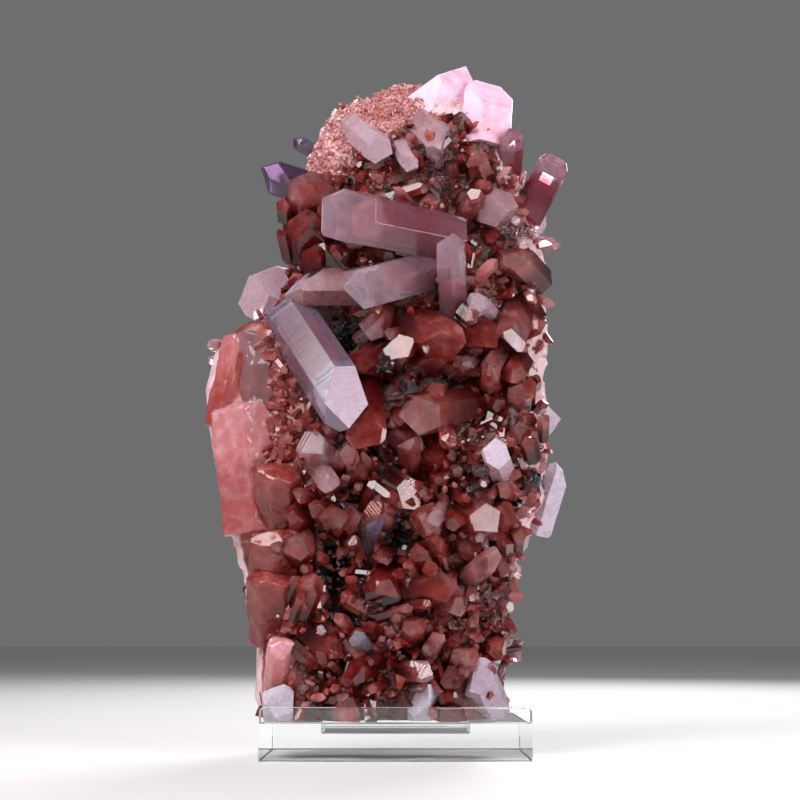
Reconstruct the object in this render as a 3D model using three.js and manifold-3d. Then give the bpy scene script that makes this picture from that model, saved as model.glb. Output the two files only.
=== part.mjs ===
// A red phantom quartz cluster standing in a one-piece clear acrylic display stand.
// Millimetres, +Z up. The best side of the specimen faces -Y, and the origin is the middle of the stand's
// underside.
import * as THREE from "three";
import { ConvexGeometry } from "three/addons/geometries/ConvexGeometry.js";
import { mergeVertices } from "three/addons/utils/BufferGeometryUtils.js";
import Module from "manifold-3d";

const wasm = await Module();
wasm.setup();

// The stand: a block with a raised front lip, a tapered back rest and a shallow pocket under the specimen.
const stand = {
  width: 65,
  depth: 50,
  shelfHeight: 8.6,
  lipHeight: 12.5,
  lipThickness: 3,
  lipCornerRadius: 1.2,
  restThickness: 3,
  restFrontY: 18,
  restFootWidth: 61,
  restTopWidth: 22,
  restTopZ: 56,
  restCornerRadius: 4,
  pocketWidth: 36,
  pocketLength: 26,
  pocketDepth: 2.6,
};
const gap = 0.35; // air between the specimen and the stand, so that neither body cuts the other

// The viewpoint that the outline and the crystals are laid out from. Columns and rows are pixels of its
// 800 x 800 view.
const viewpoint = {
  x: 1.06,
  y: -325,
  z: 28,
  pitch: THREE.MathUtils.degToRad(11.13),
  focal: 1225,
  middle: 400,
};

// The matrix, from the foot to the summit: row, left edge, right edge, then the front and back depth in mm.
const matrixRows = [
  [722, 262, 499, -16.5, 14],
  [698, 255, 502, -19, 17],
  [670, 256, 508, -20, 17.2],
  [640, 256, 511, -20, 17.3],
  [605, 248, 510, -20, 17.3],
  [570, 240, 515, -20, 17.3],
  [535, 231, 527, -21, 17.4],
  [500, 222, 545, -21, 19],
  [465, 215, 548, -21.5, 20.5],
  [430, 209, 546, -22, 21.5],
  [394, 206, 547, -22, 23],
  [360, 214, 547, -22, 23],
  [338, 234, 549, -21.5, 22],
  [318, 270, 548, -21.5, 22],
  [288, 285, 545, -22, 21],
  [254, 290, 541, -22, 20],
  [220, 299, 533, -22, 19.5],
  [186, 304, 522, -21, 18.5],
  [154, 311, 514, -19, 16.5],
  [132, 321, 508, -16.5, 14.5],
  [116, 343, 499, -13.5, 11.5],
  [104, 374, 491, -11, 9],
  [93, 402, 484, -8, 6.5],
];
const outlineDepth = -1; // the depth in mm at which the matrix shows its widest outline
const sectionPower = 3; // 2 gives oval sections and more gives squarer ones
const ringPoints = 22;

// Hollows and swellings of the front: column, row, radius in pixels, and how far the surface comes forward
// in mm.
const frontRelief = [
  [342, 348, 34, -9],
  [330, 562, 30, -7],
  [345, 618, 32, -5],
  [322, 650, 24, -4],
  [462, 372, 26, -3],
  [252, 385, 40, -3],
  [276, 500, 26, 2],
  [272, 600, 32, 2.5],
  [440, 290, 60, 2],
  [400, 210, 46, 2],
  [470, 470, 50, 1.5],
  [430, 640, 44, 1.5],
];

// Large crystals: the tip and the root as column, row and depth in mm, then the width in mm.
// flat squeezes a crystal front to back, roll turns it about its axis in degrees, and lead is the face of the
// point that grew largest.
const crystals = {
  lilac_blade: { tip: [349, 429, -37], root: [278, 319, -20], width: 15, flat: 0.72, roll: 14, lead: 0 },
  summit_lilac: { tip: [322, 199, -35], root: [466, 229, -25], width: 15.5, flat: 0.7, roll: 8, lead: 1 },
  rose_point: { tip: [342, 288, -35], root: [462, 256, -25], width: 11.5, flat: 0.8, roll: 10, lead: 4 },
  banded_red: { tip: [284, 296, -22], root: [372, 296, -17], width: 11, flat: 0.9, roll: 5, lead: 2 },
  upright_lilac: { tip: [453, 233, -36], root: [459, 322, -26], width: 8.4, flat: 0.9, roll: 20, lead: 0 },
  pale_side: { tip: [249, 276, -8], root: [322, 302, -2], width: 18, flat: 0.8, roll: 12, lead: 3 },
  violet_side: { tip: [261, 168, -9], root: [318, 186, -4], width: 10.4, flat: 0.85, roll: 10, lead: 0 },
  sliver_side: { tip: [293, 139, -4], root: [326, 160, -2], width: 4.4, flat: 0.9, roll: 0, lead: 1 },
  summit_white: { tip: [466, 66, -6], root: [430, 176, -3], width: 25, flat: 0.85, roll: -24, lead: 0 },
  summit_right: { tip: [476, 80, -11], root: [470, 160, -12], width: 14.5, flat: 0.9, roll: 24, lead: 1 },
  summit_shoulder: { tip: [349, 108, -10], root: [392, 174, -6], width: 19, flat: 0.8, roll: 30, lead: 2 },
  pink_lozenge: { tip: [381, 160, -27], root: [346, 128, -13], width: 8.4, flat: 0.8, roll: 0, lead: 0 },
  summit_chunk: { tip: [441, 150, -25], root: [404, 112, -12], width: 11, flat: 0.8, roll: 15, lead: 5 },
  summit_peg: { tip: [460, 111, -19], root: [462, 142, -14], width: 5, flat: 1, roll: 10, lead: 1 },
  clear_lath: { tip: [450, 199, -31], root: [415, 170, -19], width: 5.2, flat: 0.9, roll: 20, lead: 0 },
  clear_knob: { tip: [415, 168, -27], root: [401, 143, -16], width: 4.6, flat: 1, roll: 0, lead: 2 },
  glint_knob: { tip: [434, 151, -26], root: [441, 173, -17], width: 3.8, flat: 1, roll: 15, lead: 3 },
  red_wedge: { tip: [475, 152, -27], root: [492, 196, -16], width: 6.6, flat: 0.9, roll: 12, lead: 4 },
  tall_shoulder: { tip: [509, 128, -19], root: [505, 194, -11], width: 8.4, flat: 0.9, roll: -10, lead: 5 },
  phantom_side: { tip: [550, 153, -12], root: [514, 222, -10], width: 8.6, flat: 0.9, roll: 8, lead: 1 },
  glint_pair_a: { tip: [503, 229, -29], root: [516, 233, -18], width: 4.2, flat: 1, roll: 10, lead: 0 },
  glint_pair_b: { tip: [524, 230, -27], root: [532, 234, -16], width: 4.2, flat: 1, roll: 40, lead: 2 },
  pale_shoulder: { tip: [546, 216, -8], root: [516, 240, -4], width: 6.6, flat: 1, roll: 20, lead: 3 },
  side_spike: { tip: [561, 244, -10], root: [522, 254, -6], width: 5, flat: 0.9, roll: 0, lead: 0 },
  long_slant: { tip: [481, 190, -30], root: [449, 240, -22], width: 5.2, flat: 0.9, roll: 24, lead: 1 },
  pink_square: { tip: [503, 256, -28], root: [537, 292, -13], width: 9.4, flat: 0.9, roll: 30, lead: 2 },
  pale_block: { tip: [472, 299, -32], root: [496, 324, -19], width: 6.6, flat: 1, roll: 10, lead: 5 },
  lilac_drop: { tip: [504, 338, -30], root: [520, 288, -17], width: 9, flat: 0.9, roll: 25, lead: 3 },
  red_drop: { tip: [541, 334, -20], root: [508, 306, -14], width: 8.2, flat: 0.9, roll: 0, lead: 4 },
  red_capped: { tip: [466, 343, -33], root: [406, 318, -22], width: 11.6, flat: 0.85, roll: 15, lead: 2 },
  clear_drop: { tip: [407, 394, -31], root: [417, 354, -19], width: 5, flat: 1, roll: 10, lead: 1 },
  pink_plates: { tip: [399, 416, -33], root: [474, 402, -20], width: 10.4, flat: 0.85, roll: 35, lead: 0 },
  dark_shield: { tip: [380, 444, -36], root: [372, 372, -20], width: 10.4, flat: 0.75, roll: 10, lead: 1 },
  dark_red: { tip: [352, 372, -27], root: [408, 334, -17], width: 9.4, flat: 0.8, roll: 0, lead: 5 },
  clear_bead: { tip: [388, 367, -31], root: [383, 347, -19], width: 3.4, flat: 1, roll: 0, lead: 3 },
  thin_red: { tip: [515, 338, -26], root: [520, 374, -16], width: 4.2, flat: 0.9, roll: 20, lead: 2 },
  oval_red: { tip: [494, 367, -29], root: [493, 396, -18], width: 5, flat: 0.9, roll: 10, lead: 0 },
  rosy_point: { tip: [412, 438, -32], root: [415, 486, -20], width: 6.2, flat: 0.9, roll: 30, lead: 4 },
  frosted_point: { tip: [495, 438, -29], root: [512, 482, -17], width: 7.5, flat: 0.9, roll: 15, lead: 1 },
  clear_round: { tip: [475, 470, -30], root: [500, 466, -19], width: 4.2, flat: 1, roll: 0, lead: 5 },
  red_lath: { tip: [499, 489, -26], root: [534, 493, -15], width: 4.4, flat: 0.9, roll: 10, lead: 3 },
  stick_a: { tip: [478, 542, -29], root: [476, 494, -21], width: 2.6, flat: 1, roll: 0, lead: 0 },
  stick_b: { tip: [487, 550, -28], root: [486, 496, -21], width: 2, flat: 1, roll: 30, lead: 2 },
  stick_c: { tip: [495, 540, -27], root: [492, 500, -20], width: 2.3, flat: 1, roll: 10, lead: 4 },
  stick_d: { tip: [466, 488, -29], root: [502, 483, -21], width: 2.4, flat: 1, roll: 0, lead: 1 },
  pink_peg: { tip: [428, 523, -30], root: [447, 496, -20], width: 4.6, flat: 0.9, roll: 15, lead: 0 },
  orange_lath: { tip: [497, 548, -30], root: [450, 586, -19], width: 5.6, flat: 0.9, roll: 5, lead: 2 },
  lilac_shard: { tip: [375, 512, -29], root: [362, 554, -19], width: 6.4, flat: 0.9, roll: 25, lead: 5 },
  pale_plate_a: { tip: [297, 446, -31], root: [344, 486, -20], width: 7.4, flat: 0.6, roll: 20, lead: 1 },
  pale_plate_b: { tip: [333, 490, -32], root: [306, 448, -20], width: 5.4, flat: 0.7, roll: 0, lead: 3 },
  grey_pink: { tip: [347, 520, -28], root: [306, 498, -20], width: 6.4, flat: 0.85, roll: 10, lead: 2 },
  orange_peg: { tip: [347, 444, -30], root: [364, 482, -19], width: 4.6, flat: 0.9, roll: 30, lead: 0 },
  white_foot: { tip: [428, 684, -21.5], root: [429, 726, -10], width: 8.6, flat: 0.8, roll: 0, lead: 0 },
  white_heel: { tip: [284, 684, -21], root: [287, 726, -10], width: 8.6, flat: 0.8, roll: 30, lead: 1 },
  lilac_foot: { tip: [478, 658, -23], root: [500, 706, -11], width: 9.6, flat: 0.8, roll: 12, lead: 5 },
  red_bead_a: { tip: [468, 651, -27], root: [470, 680, -17], width: 5.2, flat: 1, roll: 0, lead: 3 },
  red_bead_b: { tip: [447, 672, -26], root: [474, 697, -16], width: 6, flat: 0.9, roll: 20, lead: 4 },
  orange_bead: { tip: [442, 634, -28], root: [428, 666, -19], width: 4, flat: 0.9, roll: 10, lead: 0 },
  pale_bead: { tip: [450, 621, -27], root: [461, 651, -18], width: 4.4, flat: 1, roll: 25, lead: 2 },
  pink_bead: { tip: [494, 610, -25], root: [499, 636, -15], width: 4, flat: 1, roll: 0, lead: 1 },
  lilac_bead_a: { tip: [353, 635, -25], root: [370, 652, -16], width: 4.6, flat: 1, roll: 15, lead: 5 },
  lilac_bead_b: { tip: [353, 661, -24], root: [358, 692, -16], width: 3.6, flat: 0.9, roll: 0, lead: 0 },
  salmon_step: { tip: [281, 638, -21], root: [277, 698, -15], width: 8.6, flat: 0.8, roll: 0, lead: 0 },
  salmon_block: { tip: [247, 397, -14], root: [261, 534, -12], width: 21, flat: 0.9, roll: 24, lead: 3 },
  orange_crown: { tip: [241, 334, -13], root: [221, 430, -21], width: 10, flat: 1, roll: 14, lead: 2 },
  smoky_back: { tip: [256, 328, -15], root: [262, 412, -25], width: 11, flat: 0.9, roll: 5, lead: 4 },
  red_glaze: { tip: [279, 466, -26], root: [277, 534, -19], width: 12.5, flat: 0.7, roll: 12, lead: 5 },
  grey_lens_a: { tip: [274, 530, -21.5], root: [272, 586, -16], width: 13, flat: 0.7, roll: 30, lead: 1 },
  grey_lens_b: { tip: [268, 572, -20.5], root: [272, 644, -15], width: 13, flat: 0.7, roll: 10, lead: 0 },
  rim_lump_low: { tip: [556, 462, -5], root: [534, 534, -3], width: 6.4, flat: 1, roll: 10, lead: 2 },
  rim_lump_high: { tip: [561, 419, -5], root: [524, 426, -3], width: 9, flat: 1, roll: 30, lead: 4 },
};

// These are broken blocks, which end in a cleft instead of a point.
const brokenCrystals = [
  "salmon_step",
  "salmon_block",
  "orange_crown",
  "smoky_back",
  "red_glaze",
  "grey_lens_a",
  "grey_lens_b",
];

// Medium crystals that fill the front, the sides and the back by rule. Sizes in mm.
const fill = {
  topRow: 150,
  bottomRow: 712,
  topPitch: 11.5,
  bottomPitch: 8.8,
  topWidthShare: 1.14, // of the pitch
  bottomWidthShare: 0.56,
  flankWidthShare: 0.7,
  lengthShare: 0.88, // of the pitch, standing out of the matrix
  lean: 1.3,
  sunk: 3,
  clearance: -0.4, // between a medium crystal's foot and the side of a named one
  reach: 0.82, // of the half width of the matrix
  sideCount: 20,
  backCount: 10,
  bareRim: [285, 500], // the rows between which the right flank is smooth
};
// Places of the front without medium crystals: column, row and radius in pixels.
const clearSpots = [
  [292, 180, 24],
  [344, 345, 30],
  [335, 562, 26],
  [345, 618, 20],
  [440, 98, 62],
  [338, 140, 36],
];
// Where the smooth left lobe gives way to crystals: row, column.
const lobeEdge = [
  [330, 300],
  [390, 300],
  [430, 320],
  [500, 322],
  [545, 306],
  [720, 298],
];

// Crystals narrower than this, in mm, end in three faces, as their other three are too small to see.
const smallWidth = 7;
// The angle between a quartz crystal's axis and the normal of its end faces.
const rhombFace = THREE.MathUtils.degToRad(51.8);

// A fraction from 0 to 1 that is the same for the same two numbers.
function chance(number, salt) {
  const value = Math.sin(number * 12.9898 + salt * 78.233) * 43758.5453;
  return value - Math.floor(value);
}

// Reads a table of rows at any height by straight lines between its entries.
function between(table, at, column) {
  const downwards = table[0][0] > table[table.length - 1][0];
  const inOrder = downwards ? [...table].reverse() : table;
  if (at <= inOrder[0][0]) return inOrder[0][column];
  for (let i = 1; i < inOrder.length; i++) {
    const [low, high] = [inOrder[i - 1], inOrder[i]];
    if (at > high[0]) continue;
    return THREE.MathUtils.mapLinear(at, low[0], high[0], low[column], high[column]);
  }
  return inOrder[inOrder.length - 1][column];
}

// The point in space that a pixel of the view shows at a given depth.
function spot(column, row, depth) {
  const right = (column - viewpoint.middle) / viewpoint.focal;
  const up = (viewpoint.middle - row) / viewpoint.focal;
  const along = Math.cos(viewpoint.pitch) - up * Math.sin(viewpoint.pitch);
  const rise = Math.sin(viewpoint.pitch) + up * Math.cos(viewpoint.pitch);
  const reach = (depth - viewpoint.y) / along;
  return new THREE.Vector3(viewpoint.x + reach * right, depth, viewpoint.z + reach * rise);
}

const footZ = stand.shelfHeight + gap;
const levels = matrixRows.map(([row, left, right, front, back], i) => {
  const low = spot(left, row, outlineDepth);
  const high = spot(right, row, outlineDepth);
  return { z: i === 0 ? footZ : low.z, left: low.x, right: high.x, front, back };
});
const levelTable = levels.map(({ z, left, right, front, back }) => [z, left, right, front, back]);

// The unevenness of broken rock, in mm: slow swells and a smaller, quicker roughness.
function wobble(x, z) {
  const slow = 1.1 * Math.sin(0.31 * x + 0.17 * z) * Math.cos(0.23 * z - 0.11 * x);
  return slow + 0.6 * Math.sin(0.71 * x - 0.53 * z);
}

const reliefSpots = frontRelief.map(([column, row, radius, push]) => {
  const centre = spot(column, row, -20);
  const edge = spot(column + radius, row, -20);
  return { x: centre.x, z: centre.z, radius: edge.x - centre.x, push };
});

function relief(x, z) {
  let total = 0;
  for (const { x: cx, z: cz, radius, push } of reliefSpots) {
    total += push * Math.exp(-((x - cx) ** 2 + (z - cz) ** 2) / (radius * radius));
  }
  return total;
}

// The matrix at one height: its middle, half widths and front and back reach.
function sectionAt(z) {
  const [left, right, front, back] = [1, 2, 3, 4].map((column) => between(levelTable, z, column));
  return {
    middle: (left + right) / 2,
    half: (right - left) / 2,
    front: front - outlineDepth,
    back: back - outlineDepth,
  };
}

// A point of the matrix skin. turn runs round the section: 0 is the right edge, and half a turn the left.
function skin(turn, z) {
  const { middle, half, front, back } = sectionAt(z);
  const [c, s] = [Math.cos(turn), Math.sin(turn)];
  const squared = (v) => Math.sign(v) * Math.abs(v) ** (2 / sectionPower);
  const x = middle + half * squared(c);
  const share = Math.abs(squared(s));
  const rough = wobble(x, z) * share;
  const atFront = front * share - relief(x, z) * share - rough;
  const atBack = back * share + Math.min(0, rough - 0.6);
  return new THREE.Vector3(x, outlineDepth + (s < 0 ? atFront : atBack), z);
}

// The front skin at a place, and the direction that it faces there.
function frontSkin(x, z) {
  const depthAt = (px, pz) => {
    const { middle, half, front } = sectionAt(pz);
    const across = Math.min(1, Math.abs(px - middle) / half);
    const share = (1 - across ** sectionPower) ** (1 / sectionPower);
    return outlineDepth + front * share - (relief(px, pz) + wobble(px, pz)) * share;
  };
  const step = 1.5;
  const depth = depthAt(x, z);
  const slopeX = (depthAt(x + step, z) - depthAt(x - step, z)) / (2 * step);
  const slopeZ = (depthAt(x, z + step) - depthAt(x, z - step)) / (2 * step);
  const limit = (slope) => THREE.MathUtils.clamp(slope, -1.6, 1.6);
  const facing = new THREE.Vector3(limit(slopeX), -1, limit(slopeZ)).normalize();
  return { point: new THREE.Vector3(x, depth, z), facing };
}

function solidFrom(geometry, reach = 1e-4) {
  const bare = geometry.clone();
  for (const name of Object.keys(bare.attributes)) {
    if (name !== "position") bare.deleteAttribute(name);
  }
  const merged = mergeVertices(bare, reach);
  const vertProperties = new Float32Array(merged.attributes.position.array);
  const triVerts = new Uint32Array(merged.index.array);
  return new wasm.Manifold(new wasm.Mesh({ numProp: 3, vertProperties, triVerts }));
}

// The matrix body: rings of points up the levels, closed with a fan at both ends.
function matrixSolid() {
  const points = [];
  levels.forEach(({ z }, i) => {
    const rising = i > 0 && i < levels.length - 1 ? 2.4 : 0;
    for (let j = 0; j < ringPoints; j++) {
      const seed = i * ringPoints + j + 9000;
      const point = skin((2 * Math.PI * (j + 0.5 * (chance(seed, 1) - 0.5))) / ringPoints, z);
      const inward = z < stand.restTopZ ? 1 : 2.2;
      const middle = (levels[i].left + levels[i].right) / 2;
      const pull = 1 - (inward * chance(seed, 2)) / 24;
      const x = middle + (point.x - middle) * pull;
      points.push(new THREE.Vector3(x, point.y * pull, z + rising * (chance(seed, 3) - 0.5)));
    }
  });
  const indices = [];
  for (let i = 0; i + 1 < levels.length; i++) {
    for (let j = 0; j < ringPoints; j++) {
      const next = (j + 1) % ringPoints;
      const [a, b] = [i * ringPoints + j, i * ringPoints + next];
      const [c, d] = [a + ringPoints, b + ringPoints];
      indices.push(a, b, d, a, d, c);
    }
  }
  const top = (levels.length - 1) * ringPoints;
  const foot = points.push(new THREE.Vector3(levels[0].left / 2 + levels[0].right / 2, 0, footZ)) - 1;
  const last = levels[levels.length - 1];
  const summit = points.push(new THREE.Vector3((last.left + last.right) / 2, outlineDepth, last.z + 1.5)) - 1;
  for (let j = 0; j < ringPoints; j++) {
    const next = (j + 1) % ringPoints;
    indices.push(foot, next, j, summit, top + j, top + next);
  }
  const geometry = new THREE.BufferGeometry().setFromPoints(points).setIndex(indices);
  return solidFrom(geometry);
}

// The corners of a convex body given as planes, each a normal and a distance.
function cornersOf(planes) {
  const corners = [];
  const cross = new THREE.Vector3();
  for (let i = 0; i < planes.length; i++) {
    for (let j = i + 1; j < planes.length; j++) {
      for (let k = j + 1; k < planes.length; k++) {
        const [a, b, c] = [planes[i], planes[j], planes[k]];
        const determinant = a.normal.dot(cross.crossVectors(b.normal, c.normal));
        if (Math.abs(determinant) < 1e-6) continue;
        const corner = new THREE.Vector3()
          .addScaledVector(new THREE.Vector3().crossVectors(b.normal, c.normal), a.distance)
          .addScaledVector(new THREE.Vector3().crossVectors(c.normal, a.normal), b.distance)
          .addScaledVector(new THREE.Vector3().crossVectors(a.normal, b.normal), c.distance)
          .divideScalar(determinant);
        const inside = planes.every(({ normal, distance }) => normal.dot(corner) < distance + 1e-6);
        if (inside && !corners.some((other) => other.distanceTo(corner) < 1e-3)) corners.push(corner);
      }
    }
  }
  return corners;
}

// A quartz crystal: a six-sided prism with six end faces, of which three are usually larger.
function crystalSolid({ tip, root, width, flat = 1, roll = 0, lead = 0, broken = false, seed }) {
  const axis = new THREE.Vector3().subVectors(tip, root);
  const length = axis.length();
  axis.normalize();
  const side = new THREE.Vector3().crossVectors(axis, new THREE.Vector3(0, 1, 0));
  if (side.length() < 0.2) side.set(1, 0, 0).addScaledVector(axis, -axis.x);
  side.normalize();
  const front = new THREE.Vector3().crossVectors(axis, side).normalize();
  const inner = (width / 2) * Math.cos(Math.PI / 6);
  const planes = [{ normal: new THREE.Vector3(0, 0, -1), distance: 0 }];
  for (let k = 0; k < 6; k++) {
    const turn = THREE.MathUtils.degToRad(roll + 30 + 60 * k);
    const [c, s] = [Math.cos(turn), Math.sin(turn)];
    planes.push({ normal: new THREE.Vector3(c, s, 0), distance: inner * (0.88 + 0.24 * chance(seed, k)) });
    if (broken || (k % 2 && width < smallWidth)) continue;
    const late = k === lead ? -0.42 * width : (k % 2) * 0.26 * width * (0.5 + chance(seed, k + 7));
    const normal = new THREE.Vector3(c * Math.sin(rhombFace), s * Math.sin(rhombFace), Math.cos(rhombFace));
    planes.push({ normal, distance: (length + late) * Math.cos(rhombFace) });
  }
  if (broken) {
    for (let k = 0; k < 3; k++) {
      const turn = THREE.MathUtils.degToRad(roll + 120 * k + 40 * chance(seed, k + 3));
      const tilt = 0.14 + 0.4 * chance(seed, k + 11);
      const normal = new THREE.Vector3(Math.cos(turn) * tilt, Math.sin(turn) * tilt, 1).normalize();
      planes.push({ normal, distance: length * normal.z });
    }
  }
  const corners = cornersOf(planes);
  const apex = corners.reduce((highest, corner) => (corner.z > highest.z ? corner : highest)).clone();
  const shift = broken ? new THREE.Vector3() : new THREE.Vector3(-apex.x, -apex.y, length - apex.z);
  const geometry = new ConvexGeometry(corners.map((corner) => corner.add(shift)));
  const squeeze = new THREE.Matrix4().makeScale(1, flat, 1);
  const placed = new THREE.Matrix4().makeBasis(side, front, axis).setPosition(root);
  geometry.applyMatrix4(placed.multiply(squeeze));
  return solidFrom(geometry);
}

// The named crystals, from their places in the view. A root that stands clear of the matrix is pushed in.
const rootDepth = 4.5;
const namedCrystals = Object.entries(crystals).map(([name, crystal], i) => {
  const [column, row, depth] = crystal.root;
  const seen = spot(column, row, depth);
  const skinDepth = frontSkin(seen.x, seen.z).point.y;
  const root = spot(column, row, Math.max(depth, skinDepth + rootDepth));
  const broken = brokenCrystals.includes(name);
  return { ...crystal, tip: spot(...crystal.tip), root, broken, seed: i + 1 };
});

function nearNamedCrystal(point, margin) {
  const nearest = new THREE.Vector3();
  return namedCrystals.some(({ tip, root, width }) => {
    new THREE.Line3(root, tip).closestPointToPoint(point, true, nearest);
    nearest.y = point.y;
    return nearest.distanceTo(point) < width / 2 + margin;
  });
}

// The column and row where a point appears in the view.
function seen(point) {
  const [ahead, up] = [point.y - viewpoint.y, point.z - viewpoint.z];
  const depth = ahead * Math.cos(viewpoint.pitch) + up * Math.sin(viewpoint.pitch);
  const rise = up * Math.cos(viewpoint.pitch) - ahead * Math.sin(viewpoint.pitch);
  const column = viewpoint.middle + (viewpoint.focal * (point.x - viewpoint.x)) / depth;
  return [column, viewpoint.middle - (viewpoint.focal * rise) / depth];
}

function inClearSpot(point) {
  const [column, row] = seen(point);
  return clearSpots.some(([c, r, radius]) => Math.hypot(column - c, row - r) < radius);
}

function leaning(facing, seed, lean) {
  const tangentA = new THREE.Vector3(1, 0, 0).addScaledVector(facing, -facing.x).normalize();
  const tangentB = new THREE.Vector3().crossVectors(facing, tangentA);
  const turn = 2 * Math.PI * chance(seed, 1);
  const amount = lean * Math.sqrt(chance(seed, 2));
  return facing
    .clone()
    .addScaledVector(tangentA, Math.cos(turn) * amount)
    .addScaledVector(tangentB, Math.sin(turn) * amount)
    .normalize();
}

function fillCrystal(point, direction, pitch, widthShare, seed) {
  const size = 0.72 + 0.6 * chance(seed, 3);
  const out = fill.lengthShare * pitch * size * (0.75 + 0.5 * chance(seed, 4));
  return crystalSolid({
    root: point.clone().addScaledVector(direction, -fill.sunk),
    tip: point.clone().addScaledVector(direction, out),
    width: widthShare * pitch * size,
    flat: 0.8 + 0.2 * chance(seed, 5),
    roll: 60 * chance(seed, 6),
    lead: Math.floor(12 * chance(seed, 8)),
    seed,
  });
}

// Medium crystals of the front, set out on a loose grid and left off the smooth lobe and the named crystals.
function frontFill() {
  const made = [];
  const [topZ, bottomZ] = [spot(400, fill.topRow, -20).z, spot(400, fill.bottomRow, -18).z];
  let seed = 1000;
  let z = bottomZ;
  while (z < topZ) {
    const height = (z - bottomZ) / (topZ - bottomZ);
    const pitch = THREE.MathUtils.lerp(fill.bottomPitch, fill.topPitch, height);
    const widening = Math.min(1, 1.6 * height);
    const widthShare = THREE.MathUtils.lerp(fill.bottomWidthShare, fill.topWidthShare, widening);
    const row = THREE.MathUtils.lerp(fill.bottomRow, fill.topRow, height);
    const { middle, half } = sectionAt(z);
    const start = Math.max(spot(between(lobeEdge, row, 1), row, -20).x, middle - half * fill.reach);
    const end = middle + half * fill.reach;
    for (let x = start; x < end; x += pitch) {
      seed += 1;
      const jitterX = pitch * 0.55 * (chance(seed, 9) - 0.5);
      const jitterZ = pitch * 0.55 * (chance(seed, 10) - 0.5);
      const { point, facing } = frontSkin(Math.min(x + jitterX, end), z + jitterZ);
      if (point.z < footZ + 2.5 || nearNamedCrystal(point, fill.clearance) || inClearSpot(point)) continue;
      made.push(fillCrystal(point, leaning(facing, seed, fill.lean), pitch, widthShare, seed));
    }
    z += pitch;
  }
  return made;
}

// Crystals on the flanks and a few stubs on the broken back.
function flankFill() {
  const made = [];
  const [lowZ, highZ] = [levels[1].z + 4, levels[levels.length - 4].z];
  for (let i = 0; i < fill.sideCount + fill.backCount; i++) {
    const seed = 5000 + i;
    const onBack = i >= fill.sideCount;
    const z = THREE.MathUtils.lerp(lowZ, highZ, chance(seed, 12));
    const aside = chance(seed, 13) - 0.5;
    const spread = onBack ? 1.1 * aside + 0.5 * Math.PI : 0.9 * aside - 0.1;
    const lobe = z < levels[11].z && i % 2 === 1 && !onBack;
    const turn = i % 2 && !onBack && !lobe ? Math.PI - spread : spread;
    const point = skin(turn, z);
    const middle = new THREE.Vector3(sectionAt(z).middle, outlineDepth, z);
    const facing = new THREE.Vector3().subVectors(point, middle).setZ(0).normalize();
    const row = seen(point)[1];
    const onBareRim = !onBack && point.x > 0 && row > fill.bareRim[0] && row < fill.bareRim[1];
    if (nearNamedCrystal(point, -2) || onBareRim) continue;
    if (onBack && z < stand.restTopZ + 8) continue;
    made.push(fillCrystal(point, leaning(facing, seed, 0.9), onBack ? 7 : 4, fill.flankWidthShare, seed));
  }
  return made;
}

function plate(shape, thickness, frontY) {
  const settings = { depth: thickness, bevelEnabled: false, curveSegments: 6 };
  const geometry = new THREE.ExtrudeGeometry(shape, settings);
  geometry.rotateX(Math.PI / 2); // the shape is drawn in X and Z, and the plate grows towards -Y
  geometry.translate(0, frontY + thickness, 0);
  return solidFrom(geometry);
}

// A shape with two vertical or tapering sides and rounded upper corners.
function roundedPlate(footWidth, topWidth, height, radius) {
  const [foot, top] = [footWidth / 2, topWidth / 2];
  const corner = new THREE.Vector2(top, height);
  const down = new THREE.Vector2(foot - top, -height).setLength(radius);
  const shape = new THREE.Shape();
  shape.moveTo(-foot, 0);
  shape.lineTo(foot, 0);
  shape.lineTo(corner.x + down.x, corner.y + down.y);
  shape.quadraticCurveTo(corner.x, corner.y, corner.x - radius, corner.y);
  shape.lineTo(-corner.x + radius, corner.y);
  shape.quadraticCurveTo(-corner.x, corner.y, -corner.x - down.x, corner.y + down.y);
  return shape;
}

function box(width, depth, height, centre) {
  const geometry = new THREE.BoxGeometry(width, depth, height);
  geometry.translate(...centre);
  return solidFrom(geometry);
}

function standSolid() {
  const { width, depth, shelfHeight } = stand;
  const block = box(width, depth, shelfHeight, [0, 0, shelfHeight / 2]);
  const lipShape = roundedPlate(width, width, stand.lipHeight, stand.lipCornerRadius);
  const lip = plate(lipShape, stand.lipThickness, -depth / 2);
  const { restFootWidth, restTopWidth, restTopZ, restCornerRadius } = stand;
  const restShape = roundedPlate(restFootWidth, restTopWidth, restTopZ, restCornerRadius);
  const rest = plate(restShape, stand.restThickness, stand.restFrontY);
  const pocketTop = shelfHeight + 1;
  const pocketHeight = stand.pocketDepth + 1;
  const pocketCentre = [0, -3, pocketTop - pocketHeight / 2];
  const pocket = box(stand.pocketWidth, stand.pocketLength, pocketHeight, pocketCentre);
  return block.add(lip).add(rest).subtract(pocket);
}

// The space that the stand takes, a little enlarged, which the specimen leaves free.
function standClearance() {
  const { width, depth, shelfHeight, lipHeight } = stand;
  const lip = box(width + 2, stand.lipThickness + gap, lipHeight + gap, [
    0,
    -depth / 2 + (stand.lipThickness + gap) / 2,
    (lipHeight + gap) / 2,
  ]);
  const behind = 40;
  const restHeight = stand.restTopZ + gap;
  const restMiddle = stand.restFrontY - gap + behind / 2;
  const rest = box(stand.restFootWidth + 6, behind, restHeight, [0, restMiddle, restHeight / 2]);
  const below = box(200, 200, shelfHeight + gap, [0, 0, (shelfHeight + gap) / 2]);
  return below.add(lip).add(rest);
}

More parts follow.
